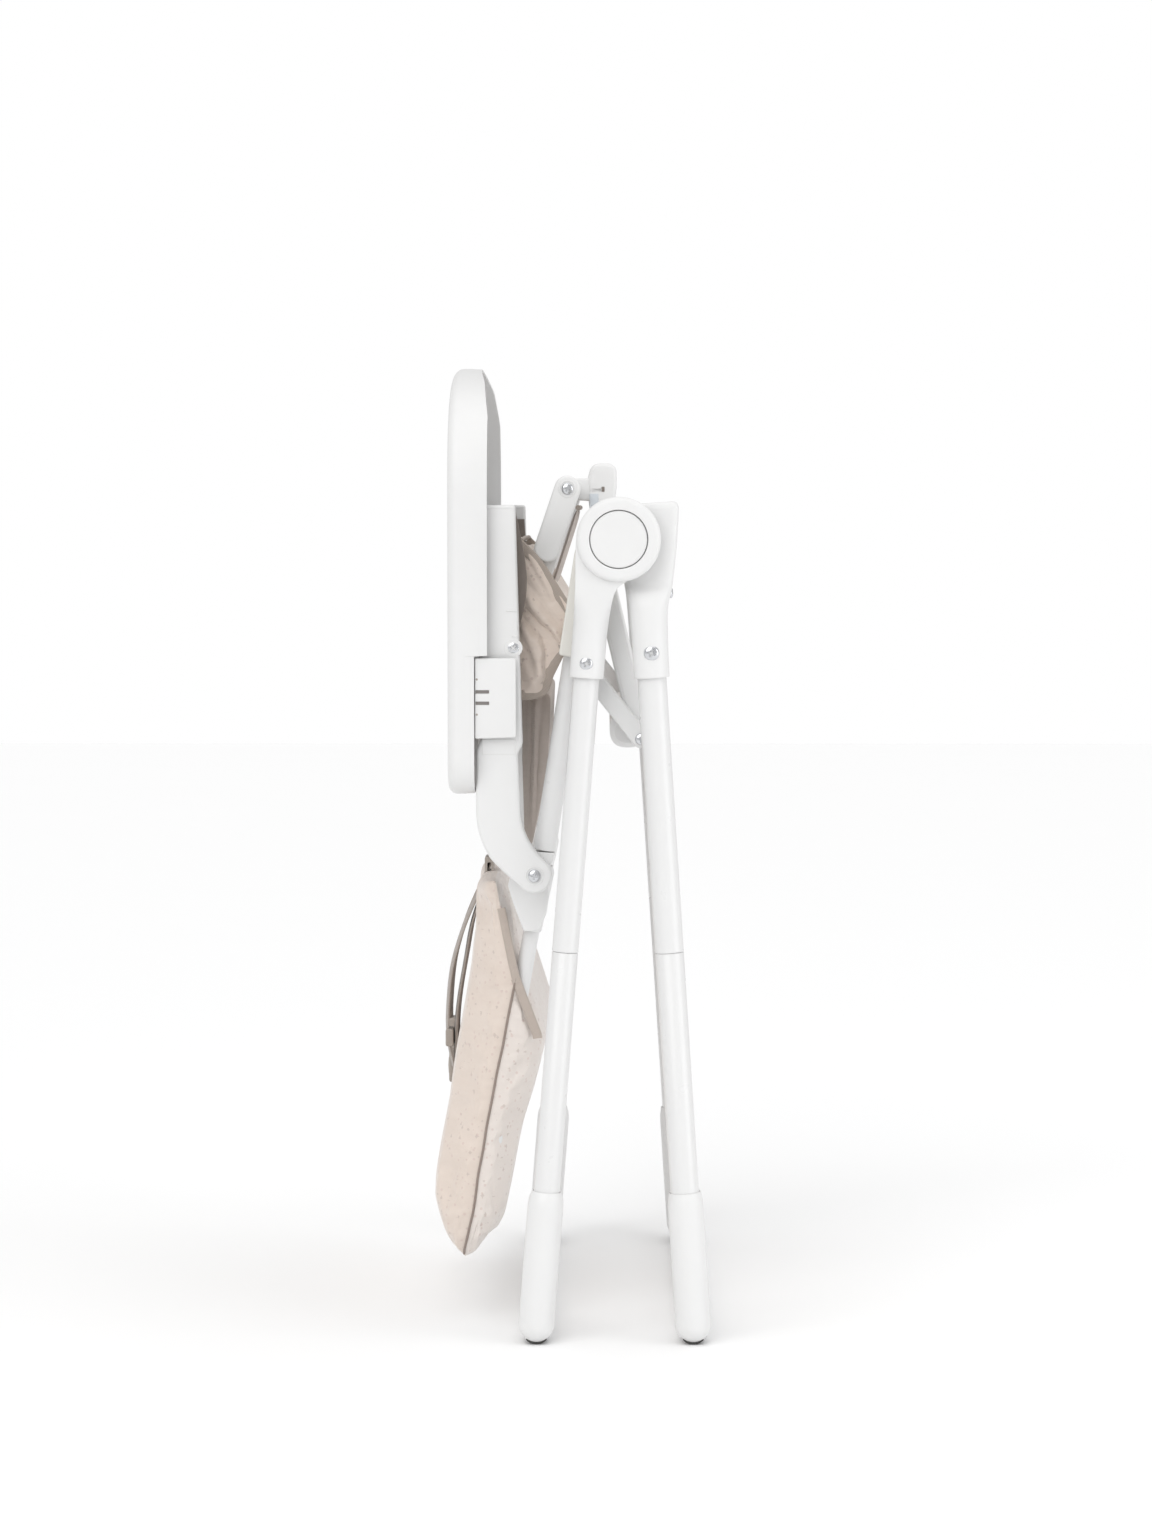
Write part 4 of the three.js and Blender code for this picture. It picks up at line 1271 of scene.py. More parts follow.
def seat_pivot(side_name):
    """The screw that joins rail, arm and back: its shank through the layers, and its head outside."""
    node = f"seat_pivot_{side_name}"
    side = SIDES[side_name]
    inner, outer = layers(node)
    shank = [(0, inner), (4 * MM, inner), (4 * MM, outer - 2 * MM), (0, outer - 2 * MM)]
    add_piece(f"{node}_shank", [pin(shank, SEAT_PIVOT, side)], CHROME, "seat_rails", [node])
    screw(f"{node}_head", SEAT_PIVOT, side, outer - 2.2 * MM, 6.2 * MM, "seat_rails", turn=0.15)


# ---------------------------------------------------------------- folding links


def link_middle():
    """The pivot between the two links, from the head on the lower link's end."""
    low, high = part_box("lower_link_right")
    end = 9 * MM
    return Vector((high.x - end, 0, low.z + end))


LINK_MIDDLE = link_middle()


def upper_link(side_name):
    """The upper link: a plate with a raised panel on each face, and a stub that turns in the arm."""
    side = SIDES[side_name]
    node = f"upper_link_{side_name}"
    outline, (low, high) = face_outline(node)
    raised = inset(smoothed(outline, 1 * MM), 3.4 * MM)
    near, far = sorted((abs(low), abs(high)))
    ribs = []
    for level, proud in ((far, 0.3 * MM), (near, -1.2 * MM)):
        ribs.append(plate(raised, *sided(side, level - proud * 4, level + proud), 0.25 * MM))
    stub_start, stub_end, radius = far - 4 * MM, 235 * MM, 3.8 * MM
    stub = pin([(0, stub_start), (radius, stub_start), (radius, stub_end), (0, stub_end)], LINK_TOP, side)
    plate_piece(node, "upper_links", PLASTIC, 1 * MM, 2.4 * MM, [*ribs, stub])


def lower_link(side_name):
    """The lower link, with the screw that joins it to the upper one."""
    node = f"lower_link_{side_name}"
    plate_piece(node, "lower_links", PLASTIC, 1 * MM, 2.6 * MM)
    side, head = SIDES[side_name], 240.6 * MM
    screw(f"{node}_screw", LINK_MIDDLE, side, head, 5.8 * MM, "lower_links", turn=0.1)


def fold_handle():
    """The grip that joins the links: round below, flatter above, with finger grooves."""
    node = "fold_handle"
    low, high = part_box(node)
    rod_half = high.y
    centre = Vector((low.x + 18 * MM, 0, low.z + 18 * MM))
    grip_half, grooved_half, groove_pitch = 202.6 * MM, 62 * MM, 10 * MM
    upright, forward = Vector((0, 0, 1)), Vector((1, 0, 0))
    rings = []
    stations = 96
    for step in range(stations + 1):
        share = step / stations
        y = -grip_half + 2 * grip_half * share
        from_end = min(share, 1 - share) * 2 * grip_half
        end_round = math.sqrt(max(0.0, 1 - (1 - min(1, from_end / (5 * MM))) ** 2))
        groove = 0.0
        if abs(y) < grooved_half:
            groove = 1.0 * MM * (1 - math.cos(abs(y) / groove_pitch * math.pi)) / 2
        size = 17.8 * MM * (0.72 + 0.28 * end_round) - groove
        rings.append(superellipse(at(centre, y=y), forward, upright, size, size, 2.5, 48))
    rod = [(0, -rod_half), (3.9 * MM, -rod_half), (3.9 * MM, rod_half), (0, rod_half)]
    add_piece("fold_handle_grip", [bridge(rings), turned(rod, LINK_MIDDLE, ACROSS)], PLASTIC,
              "upper_links", [node])


# ---------------------------------------------------------------- arms


# the heights of the two slots in a tray button
SLOT_LEVELS = (622 * MM, 633 * MM)


def arm(side_name):
    """The arm's S-shaped shell, with two short ribs near its foot and a collar across its upper rail."""
    side = SIDES[side_name]
    node = f"arm_{side_name}"
    outline, (low, high) = face_outline(node)
    outer = max(abs(low), abs(high))
    shapes = [
        plate(smoothed(outline, 3 * MM), low, high, 3.2 * MM, steps=6),
        washer(SEAT_PIVOT, side, outer, 9.4 * MM),
        washer(CALF_PIVOT, side, outer - 0.4 * MM, 9.0 * MM),
    ]
    add_piece(f"{node}_shell", shapes, PLASTIC, "arms", [node])
    edge = CALF_PIVOT.x + 12 * MM
    for index, (rise, reach) in enumerate(((36 * MM, 15 * MM), (11.5 * MM, 9 * MM))):
        level = CALF_PIVOT.z + rise
        ridge = side_block(side, (edge - reach - 4 * MM, edge - 8 * MM), (outer - 1 * MM, outer + 0.7 * MM),
                           (level - 0.8 * MM, level + 0.8 * MM), 0.35 * MM)
        add_piece(f"{node}_rib_{index + 1}", [ridge], PLASTIC, "arms")
    collar = side_block(side, (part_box(node)[0].x + 6 * MM, CALF_PIVOT.x + 2 * MM),
                        (outer - 1 * MM, outer + 0.5 * MM),
                        (SEAT_PIVOT.z + 118 * MM, SEAT_PIVOT.z + 133 * MM), 0.4 * MM)
    add_piece(f"{node}_collar", [collar], PLASTIC, "arms")
    screw(f"{node}_calf_screw", CALF_PIVOT, side, outer - 1.3 * MM, 6.3 * MM, "arms", flatten=0.8, turn=0.7)


def arm_painted_shade(side_name):
    """A dark plate of painted shade on the inside of the arm's upper rail, where that side lies in shade. On
    the right its rear edge is bowed.
    """
    side = SIDES[side_name]
    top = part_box(f"arm_{side_name}")[1].z - 1 * MM
    drop, bow = 128 * MM, 11.5 * MM
    if side > 0:
        top, drop, bow = top - 14 * MM, 104 * MM, 3 * MM
    front = CALF_PIVOT.x - 26 * MM
    back = CALF_PIVOT.x + 1.2 * MM
    corners = [Vector((front, top)), Vector((front, top - drop))]
    steps = 28
    for step in range(steps + 1):
        share = step / steps
        bulge = math.sin(math.pi * share ** 0.8) ** 1.2
        corners.append(Vector((back + bow * bulge, top - drop * (1 - share))))
    inner = layers(f"arm_{side_name}")[0]
    shape = plate(corners, *sided(side, inner - 3.4 * MM, inner - 0.4 * MM), 0.6 * MM)
    add_piece(f"arm_painted_shade_{side_name}", [shape], DARK_PAINTED_SHADE, "arms")


def tray_button(side_name):
    """The release plate in the tray's side, with two dark slots and two pips."""
    side = SIDES[side_name]
    node = f"tray_button_{side_name}"
    low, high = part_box(node)
    inner, outer = layers(node)
    corners = [(low.x, low.z), (high.x, low.z + 1.5 * MM), (high.x, high.z), (low.x, high.z)]
    face = plate(rounded(corners, 2 * MM), *sided(side, inner, outer), 1.2 * MM)
    piece = add_piece(f"{node}_plate", [face], PLASTIC, node, [node])
    slot_start = low.x + 0.6 * MM
    slot_end = slot_start + 13.5 * MM
    cutters = []
    for number, level in enumerate(SLOT_LEVELS):
        below, above = level - 1.7 * MM, level + 1.7 * MM
        cutters.append(side_block(side, (slot_start, slot_end), (outer - 2 * MM, outer + 1 * MM),
                                  (below, above), 0.4 * MM))
        floor = side_block(side, (slot_start + 0.4 * MM, slot_end - 0.2 * MM),
                           (outer - 2.4 * MM, outer - 1.4 * MM),
                           (below + 0.2 * MM, above - 0.2 * MM), 0.2 * MM)
        add_piece(f"{node}_slot_{number + 1}", [floor], SLOT_SHADE, node)
    carve(piece, *cutters)
    profile = [(0, outer - 1 * MM), (1.1 * MM, outer - 1 * MM), (1.1 * MM, outer),
               (0.8 * MM, outer + 0.3 * MM), (0, outer + 0.4 * MM)]
    for number, level in enumerate((SLOT_LEVELS[0] - 11 * MM, SLOT_LEVELS[1] + 12 * MM)):
        pip = pin(profile, (slot_start + 1.5 * MM, 0, level), side, 20)
        add_piece(f"{node}_pip_{number + 1}", [pip], BUCKLE, node)


# ---------------------------------------------------------------- tray


# heights of points along the tray's straight sides, two of them close together at the wall's step
SIDE_STEPS = [level * MM for level in (600, 640, 667.2, 668.0, 700, 740, 780, 800)]


def tray_outline():
    """The tray from above, as width and height: a round front, straight sides and a bay for the child."""
    low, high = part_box("tray")
    half, rear, front = high.y, low.z, high.z - 19 * MM
    tip = high.z
    corner, wing, bay = 40 * MM, 150 * MM, 108 * MM
    bay_edge, wing_start = wing - 10 * MM, wing + 16 * MM
    rear_corner = Vector((half - corner, rear))
    right = [
        *bezier(Vector((0, rear + bay)), Vector((bay_edge, rear + bay)),
                Vector((bay_edge, rear)), Vector((wing_start, rear)), 26),
        Vector((wing_start, rear)),
        Vector((wing_start, rear)).lerp(rear_corner, 0.5),
        *bezier(rear_corner, Vector((half - corner / 3, rear)),
                Vector((half, rear + corner / 3)), Vector((half, rear + corner)), 12),
    ]
    straight_high = front - 110 * MM
    right += [Vector((half, level)) for level in (rear + corner, *SIDE_STEPS) if level < straight_high]
    right += bezier(Vector((half, straight_high)), Vector((half, front - 20 * MM)),
                    Vector((half - 70 * MM, front + (tip - front) * 0.75)), Vector((0, tip)), 34)
    left = [Vector((-p.x, p.y)) for p in reversed(right[1:])]
    return [*right, Vector((0, tip)), *left]


def rim_depth(height, span, near, far):
    """How far the tray's wall reaches at a height: cut back beside the arms, deepest along the sides."""
    table = [
        (0.0, near), (667.3 * MM, near), (668 * MM, far), (900 * MM, far),
        (934 * MM, far - span * 0.12), (952 * MM, far - span * 0.30),
    ]
    return lerp(table, height)


def tray():
    """The tray's shell: a dished top with a rolled edge, deep walls, and a hollow underside."""
    low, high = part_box("tray")
    face, far = low.x, high.x
    span = far - face
    near = far - 12.6 * MM
    wall = 3 * MM
    base = tray_outline()

    def ring(margin, depth, rim=False):
        """A ring set in from the outline, at a depth under the top or, at the rim, past the wall's end."""
        result = []
        for point, moved in zip(base, inset(base, margin) if margin else base):
            x = rim_depth(point.y, span, near, far) + depth if rim else face + depth
            result.append(Vector((x, moved.x, moved.y)))
        return result

    rings = [
        ring(27 * MM, 3.0 * MM), ring(24 * MM, 3.0 * MM), ring(21.5 * MM, 2.2 * MM),
        ring(19.5 * MM, 0.8 * MM), ring(17 * MM, 0.1 * MM), ring(12 * MM, 0.0),
    ]
    steps = 7
    roll = 8.5 * MM
    for step in range(steps + 1):
        angle = math.pi / 2 * step / steps
        rings.append(ring(roll * (1 - math.sin(angle)) + 1e-5, roll * (1 - math.cos(angle))))
    rings += [
        ring(0.01 * MM, -9.5 * MM, rim=True), ring(0.3 * MM, -8.4 * MM, rim=True),
        ring(0.5 * MM, -1.2 * MM, rim=True), ring(1.0 * MM, -0.2 * MM, rim=True),
        ring(2.0 * MM, -0.1 * MM, rim=True), ring(wall - 0.3 * MM, -0.5 * MM, rim=True),
        ring(wall, -1.4 * MM, rim=True), ring(wall + 0.4 * MM, 14 * MM),
        ring(wall + 2.2 * MM, 7.6 * MM), ring(wall + 6 * MM, 5.8 * MM), ring(wall + 12 * MM, 5.6 * MM),
    ]
    shapes = [bridge(rings)]
    under = face + 4 * MM
    for side in SIDES.values():
        shapes.append(side_block(side, (under, face + 30.6 * MM), (219.2 * MM, 232.8 * MM),
                                 (592.3 * MM, 799.7 * MM), 2 * MM))
    half_rib, rib_foot = 1.2 * MM, face + 12 * MM
    rib_low, rib_high, rib_half = 690 * MM, 905 * MM, 196 * MM
    for place in (-150 * MM, -75 * MM, 0, 75 * MM, 150 * MM):
        low_corner = (under, place - half_rib, rib_low)
        shapes.append(block(low_corner, (rib_foot, place + half_rib, rib_high), 0.5 * MM))
    for level in (700 * MM, 800 * MM, 890 * MM):
        low_corner = (under, -rib_half, level - half_rib)
        shapes.append(block(low_corner, (rib_foot, rib_half, level + half_rib), 0.5 * MM))
    add_piece("tray_shell", shapes, PLASTIC, "tray", ["tray"])


# ---------------------------------------------------------------- backrest


def tube_line():
    """The line of the back tube in the side view, from the cross bar and the bent tube."""
    points = points_of("back_frame")
    side = points[np.abs(points[:, 1]) > np.abs(points[:, 1]).max() - 17 * MM]
    centre = side.mean(axis=0)
    centre[1] = 0
    flat = (side - centre) * np.array([1, 0, 1])
    run = np.linalg.svd(flat, full_matrices=False)[2][0]
    run = run if run[2] < 0 else -run
    return Vector(centre), Vector(run).normalized()


TUBE_LINE = tube_line()


def back_bracket(side_name):
    """The socket that carries the back tube, and the wedge that runs down to it from the seat pivot."""
    side = SIDES[side_name]
    node = f"back_bracket_{side_name}"
    inner, outer = layers(node)
    eye_inner, eye_outer = 178.2 * MM, 191.4 * MM
    centre, run = TUBE_LINE
    across = Vector((-run.z, 0, run.x))
    foot = stretch(node, centre, run)[1]
    eye = [
        (0, eye_inner), (13.4 * MM, eye_inner), (14 * MM, eye_inner + 1 * MM),
        (14 * MM, eye_outer - 1.2 * MM), (13 * MM, eye_outer), (0, eye_outer),
    ]

    def from_pivot(x, z, radius):
        """A corner of the wedge, in millimetres from the seat pivot."""
        return (SEAT_PIVOT.x + x * MM, SEAT_PIVOT.z + z * MM, radius * MM)

    tip = centre + run * foot
    wedge = [
        from_pivot(-24, -2, 4), from_pivot(-27, -14, 8), from_pivot(-22, -31, 30),
        (tip.x - 7.4 * MM, tip.z, 1.5 * MM), (tip.x + 7.4 * MM, tip.z + 1 * MM, 1.5 * MM),
        from_pivot(11, -42, 16), from_pivot(13.4, -26, 20), from_pivot(13.6, 2, 8),
    ]
    rings = []
    half_deep = (outer - inner) / 2 - 0.6 * MM
    for rise, half, lean in (
        (0, 9.0, 0.0), (1.0, 9.8, 0.0), (20, 10.6, 0.0), (44, 11.4, 0.6), (60, 11.2, 1.0), (66, 8.0, 1.5),
    ):
        point = centre + run * (foot - rise * MM) + across * lean * MM
        point.y = side * (inner + outer) / 2
        rings.append(superellipse(point, across, ACROSS, half * MM, half_deep, 3.2, 40))
    shapes = [
        pin(eye, SEAT_PIVOT, side),
        bridge(rings),
        plate(rounded(wedge, 3 * MM), *sided(side, 179.5 * MM, eye_outer), 1.4 * MM),
    ]
    add_piece(f"{node}_socket", shapes, PLASTIC, "backrest", [node])


def crossings(outline, height):
    """The smallest and the largest X where an outline passes a height."""
    margin = 0.2 * MM
    levels = [p.y for p in outline]
    height = min(max(height, min(levels) + margin), max(levels) - margin)
    found = []
    for i in range(len(outline)):
        a, b = outline[i - 1], outline[i]
        if (a.y - height) * (b.y - height) <= 0 and abs(a.y - b.y) > 1e-9:
            found.append(a.x + (b.x - a.x) * (height - a.y) / (b.y - a.y))
    return min(found), max(found)


class BackPad:
    """The closed form of the back cover: where its front, its side seam and its back lie at a height."""

    # height and X, in millimetres, down the side seam and down the bound edge above the pocket
    SEAM = [
        (66, -110), (75, -109.5), (112, -100.5), (151, -94.5),
        (200, -86.5), (249, -76.8), (298, -67.2), (347, -57.5),
    ]
    COVER_EDGE = [(347, -55), (365, -59), (385, -63), (405, -67), (421, -70.5), (446, -75.5)]
    # share of the height and share of the full half width
    HALF_WIDTH = [
        (0.0, 0.90), (0.02, 0.94), (0.06, 0.98), (0.12, 1.0), (0.88, 1.0), (0.96, 0.97), (1.0, 0.92),
    ]

    def __init__(self):
        self.front = smoothed(face_outline("back_cushion")[0], 4 * MM)
        self.back = smoothed(face_outline("back_pocket")[0], 4 * MM)
        low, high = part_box("back_cushion")
        self.low, self.high = low.z, high.z
        self.half = high.y
        self.pocket_low, self.pocket_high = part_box("back_pocket")
        self.seam_top = self.SEAM[-1][0] * MM
        self.mouth_low = self.pocket_low.z + 0.79 * (self.pocket_high.z - self.pocket_low.z)

    def front_x(self, height):
        """Where the front cushion's face lies."""
        return crossings(self.front, height)[0]

    def back_x(self, height):
        """Where the back lies: a blunt toe, the pocket, its mouth, and the cover above it."""
        toe = self.pocket_low.z + 2 * MM
        if height < toe:
            tip = self.front_x(self.low) + 12 * MM
            down = max((height - self.low) / (toe - self.low), 0.0)
            return tip + (crossings(self.back, toe)[1] - tip) * down ** 0.4
        if height > self.seam_top:
            return lerp(self.COVER_EDGE, height / MM) * MM
        if height > self.mouth_low:
            share = (height - self.mouth_low) / (self.seam_top - self.mouth_low)
            return self.pocket_high.x + (self.COVER_EDGE[0][1] * MM - self.pocket_high.x) * share
        return crossings(self.back, height)[1]

    def seam(self, height):
        """Where the side seam lies."""
        if height > self.seam_top:
            return self.back_x(height) - 2.5 * MM
        return lerp(self.SEAM, height / MM) * MM

    def half_width(self, height):
        """Half the pad's width."""
        return self.half * lerp(self.HALF_WIDTH, (height - self.low) / (self.high - self.low))

    def ring(self, height, around, shrink=0.0):
        """A level ring: the seam lies at its two ends, the front half bulges one way, the back the other."""
        front, back, seam = self.front_x(height), self.back_x(height), self.seam(height)
        half = self.half_width(height) - shrink
        ring = []
        for step in range(around):
            angle = 2 * math.pi * step / around
            c, s = math.cos(angle), math.sin(angle)
            y = half * math.copysign(abs(c) ** 0.30, c)
            bulge = abs(s) ** 0.45
            x = seam + ((back - shrink - seam) if s > 0 else (front + shrink - seam)) * bulge
            ring.append(Vector((x, y, height)))
        return ring

    def edge_path(self, side, start, rise, steps, sunk, margin):
        """Points down or up the back edge on one side, a little way into the pad."""
        heights = [start + rise * step / steps for step in range(steps + 1)]
        return [Vector((self.back_x(h) - sunk, side * (self.half_width(h) - margin), h)) for h in heights]


def swell(piece, pinned, pressure, cap, frames=20, shrink=-0.03):
    """Blows a closed cloth up for a moment, keeps its pinned points, and limits how far the rest moves."""
    start = np.array([v.co for v in piece.data.vertices])
    group = piece.vertex_groups.new(name="sewn")
    for index, weight in pinned.items():
        group.add([index], weight, "REPLACE")
    cloth = piece.modifiers.new("swell", "CLOTH")
    settings = cloth.settings
    settings.quality = 6
    settings.mass = 0.25
    settings.tension_stiffness = 18
    settings.compression_stiffness = 18
    settings.shear_stiffness = 8
    settings.bending_stiffness = 0.25
    settings.use_pressure = True
    settings.uniform_pressure_force = pressure
    settings.shrink_min = shrink
    settings.vertex_group_mass = "sewn"
    settings.effector_weights.gravity = 0
    cloth.collision_settings.use_collision = False
    cloth.point_cache.frame_start = 1
    cloth.point_cache.frame_end = frames
    scene = bpy.context.scene
    for frame_number in range(1, frames + 1):
        scene.frame_set(frame_number)
    depsgraph = bpy.context.evaluated_depsgraph_get()
    moved = piece.evaluated_get(depsgraph).to_mesh()
    end = np.array([v.co for v in moved.vertices])
    piece.modifiers.clear()
    scene.frame_set(1)
    way = end - start
    length = np.linalg.norm(way, axis=1, keepdims=True)
    limited = way * np.minimum(1.0, cap / np.maximum(length, 1e-9))
    for vertex, place in zip(piece.data.vertices, start + limited):
        vertex.co = place
    piece.vertex_groups.clear()
    piece.data.update()


def subdivide(piece, levels=1):
    """One smooth subdivision, put into the mesh."""
    modifier = piece.modifiers.new("smooth", "SUBSURF")
    modifier.levels = levels
    modifier.render_levels = levels
    bpy.context.view_layer.update()
    mesh = bpy.data.meshes.new_from_object(piece.evaluated_get(bpy.context.evaluated_depsgraph_get()))
    piece.modifiers.clear()
    piece.data = mesh
    mesh.shade_smooth()


def pucker(point, seam_distance, reach, depth, pitch):
    """Small gathers that run away from a seam and fade out."""
    fade = max(0.0, 1 - seam_distance / reach) ** 1.5
    wave = noise.noise(Vector((point.x * 8, point.y * 8, point.z / pitch)))
    return depth * fade * wave


def back_pad():
    """The padded back cover: one closed form, blown up a little, with two cloths that meet at the seam. The
    back cloth is a paler copy of the satin, painted sheen.
    """
    pad = BackPad()
    around, step = 152, 5 * MM
    count = int((pad.high - pad.low) / step)
    margin = 1.5 * MM
    heights = [pad.low + (pad.high - pad.low - margin) * i / count for i in range(count + 1)]
    rings = [pad.ring(height, around, shrink=margin) for height in heights]
    piece = add_object("back_pad", make_mesh("back_pad", bridge(rings, ends="strip")))
    half_way = around // 2
    pinned = {}
    for index, vertex in enumerate(piece.data.vertices):
        row, column = divmod(index, around)
        away = min(column, abs(column - half_way), around - column)
        if row in (0, count):
            pinned[index] = 1.0
        elif away < 3:
            pinned[index] = (1.0, 0.75, 0.35)[away]
        fold = pucker(vertex.co, away * step, 60 * MM, 7.0 * MM, 12 * MM)
        crown = noise.noise(vertex.co * 9) * 2.2 * MM
        vertex.co.x += (fold + crown) * (1 if column > half_way else -1) * min(1, away / 3)
    swell(piece, pinned, pressure=3.5, cap=9 * MM)
    piece.data.materials.append(SATIN["material"])
    piece.data.materials.append(SATIN_PAINTED_SHEEN["material"])
    # the back half takes the paler satin copy, painted sheen
    for face in piece.data.polygons:
        columns = [v % around for v in face.vertices]
        if all(0 <= column <= half_way for column in columns) and max(columns) > 0:
            face.material_index = 1
    subdivide(piece)
    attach(piece, "backrest")
    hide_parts("back_cushion", "back_pocket")
    back_trim(pad)


def back_trim(pad):
    """Piping down both side seams, and tape on the upper edges of the cover and on the pocket's mouth."""
    start, steps = pad.low + 3 * MM, 60
    for side_name, side in SIDES.items():
        path = []
        for step in range(steps + 1):
            height = start + (pad.seam_top - pad.low - 3 * MM) * step / steps
            wander = noise.noise(Vector((height * 30, side, 0))) * 0.9 * MM
            y = side * (pad.half_width(height) - 1.0 * MM)
            path.append(Vector((pad.seam(height) + wander, y, height)))
        piping = swept(path, round_section(1.25 * MM))
        add_piece(f"back_piping_{side_name}", [piping], PIPING, "backrest")
        rise = pad.high - 24 * MM - pad.seam_top
        edge = pad.edge_path(side, pad.seam_top - 4 * MM, rise, 24, 2.5 * MM, 2.0 * MM)
        tape = swept(edge, ribbon_section(4.4 * MM, 8.5 * MM))
        add_piece(f"back_edge_tape_{side_name}", [tape], TAPE, "backrest")
        drop = pad.mouth_low - pad.seam_top - 2 * MM
        mouth = pad.edge_path(side, pad.seam_top, drop, 16, 3.0 * MM, 2.4 * MM)
        tape = swept(mouth, ribbon_section(4.6 * MM, 9.5 * MM))
        add_piece(f"pocket_tape_{side_name}", [tape], TAPE, "backrest")


# ---------------------------------------------------------------- harness


def shoulder_strap(side_name):
    """A strap that hangs in a loop from its guide in the pad, with an adjuster near its end."""
    side = SIDES[side_name]
    node = f"shoulder_strap_{side_name}"
    inner, outer = layers(node)
    y = side * (inner + outer) / 2
    low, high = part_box(node)
    top = Vector((high.x - 4 * MM, y, high.z - 4 * MM))
    tail = Vector((low.x - 1 * MM, y * 0.7, low.z - 6 * MM))

    def hang(share, bow):
        """A point between the guide and the tail, bowed forwards by some millimetres."""
        return at(top.lerp(tail, share), x=-bow * MM)

    front = curve_through([
        at(top, x=11 * MM, z=24 * MM), at(top, x=3 * MM, z=2 * MM), hang(0.22, 8), hang(0.48, 14),
        hang(0.75, 11), hang(0.93, 5), at(tail, x=2 * MM, z=-14 * MM),
    ])
    back = curve_through([
        at(top, x=10 * MM, y=side * 3 * MM, z=12 * MM), hang(0.2, 1), hang(0.45, 2),
        hang(0.7, 2), hang(0.9, -1), at(tail, x=5 * MM, z=-30 * MM),
    ])
    section = ribbon_section(19 * MM, 1.6 * MM)
    twist = Vector((0.16 * side, 0.98, 0.0)).normalized()
    return_twist = Vector((0.1 * side, 1, 0)).normalized()
    add_piece(f"{node}_webbing", [swept(front, section, side=twist)], WEBBING, "backrest", [node])
    add_piece(f"{node}_return", [swept(back, section, side=return_twist)], WEBBING, "backrest")
    place, half = hang(0.9, 4), 12.5 * MM
    slider = block((place.x - 4.5 * MM, y * 0.76 - half, place.z - 9 * MM),
                   (place.x + 3.5 * MM, y * 0.76 + half, place.z + 9 * MM), 1.6 * MM)
    add_piece(f"{node}_adjuster", [slider], BUCKLE, "backrest")
    guide = block((top.x + 6 * MM, y - 13 * MM, top.z - 2 * MM),
                  (top.x + 15.5 * MM, y + 13 * MM, top.z + 31 * MM), 2 * MM)
    piece = add_piece(f"{node}_guide", [guide], BUCKLE, "backrest")
    carve(piece, block((top.x + 8.6 * MM, y - 20 * MM, top.z + 3 * MM),
                       (top.x + 12.6 * MM, y + 20 * MM, top.z + 25 * MM), 1.2 * MM))


def harness():
    """Two shoulder straps, a buckle with its button, and the crotch strap under it."""
    for side_name in SIDES:
        shoulder_strap(side_name)
    low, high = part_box("harness_buckle")
    centre = (low + high) / 2
    shell = [(-20, 6), (20, 6), (23, 21), (17, 43), (-17, 43), (-23, 21)]
    outline = rounded([(centre.y + y * MM, low.z + z * MM) for y, z in shell], 6 * MM)

    def facing_forwards(u, v, w):
        """Turns the plate's outline to face along X."""
        return Vector((w, u, v))

    body = plate(outline, low.x + 0.5 * MM, high.x - 0.5 * MM, 2.2 * MM, place=facing_forwards)
    button = turned([(0, 0), (9 * MM, 0), (9 * MM, 1.2 * MM), (8 * MM, 2 * MM), (0, 2.6 * MM)],
                    (low.x + 1.4 * MM, 0, centre.z), (-1, 0, 0), 40)
    add_piece("harness_buckle_shell", [body], BUCKLE, "backrest", ["harness_buckle"])
    add_piece("harness_buckle_button", [button], BUTTON_PLASTIC, "backrest")
    drops = ((0, 10), (1, -12), (3, -34), (6, -52))
    crotch = curve_through([Vector((centre.x + x * MM, 0, low.z + z * MM)) for x, z in drops])
    add_piece("crotch_strap", [swept(crotch, ribbon_section(24 * MM, 1.6 * MM))], WEBBING, "backrest")


# ---------------------------------------------------------------- calf rest and footrest


def capsule(start, end, radius, steps=18):
    """An outline in X and Z with two round ends."""
    a, b = Vector((start[0], start[2])), Vector((end[0], end[2]))
    heading = math.atan2(b.y - a.y, b.x - a.x)
    outline = []
    for centre, first in ((b, heading - math.pi / 2), (a, heading + math.pi / 2)):
        for step in range(steps + 1):
            angle = first + math.pi * step / steps
            outline.append(centre + Vector((math.cos(angle), math.sin(angle))) * radius)
    return outline


def calf_bar(side_name):
    """The calf bar: full thickness at its two ends, and a thin web under the sleeve."""
    side = SIDES[side_name]
    node = f"calf_bar_{side_name}"
    inner, outer = 172.2 * MM, 187.8 * MM
    radius = 12.9 * MM
    whole = capsule(CALF_PIVOT, FOOTREST_PIVOT, radius)
    foot = capsule(CALF_PIVOT.lerp(FOOTREST_PIVOT, 0.62), FOOTREST_PIVOT, radius)
    eye = capsule(CALF_PIVOT, at(CALF_PIVOT, z=1 * MM), radius)
    stub_start, stub_end, stub_radius = inner + 2 * MM, 236 * MM, 3.9 * MM
    stub = [(0, stub_start), (stub_radius, stub_start), (stub_radius, stub_end), (0, stub_end)]
    shapes = [
        plate(whole, *sided(side, inner, 178 * MM), 1.5 * MM),
        plate(foot, *sided(side, inner, outer), 2.6 * MM),
        plate(eye, *sided(side, inner, outer), 2 * MM),
        pin(stub, CALF_PIVOT, side),
        washer(FOOTREST_PIVOT, side, outer, 8.6 * MM),
    ]
    add_piece(f"{node}_moulded", shapes, PLASTIC, "calf_rest", [node])
    screw(f"{node}_screw", FOOTREST_PIVOT, side, outer + 0.2 * MM, 5.8 * MM, "calf_rest", turn=0.5)


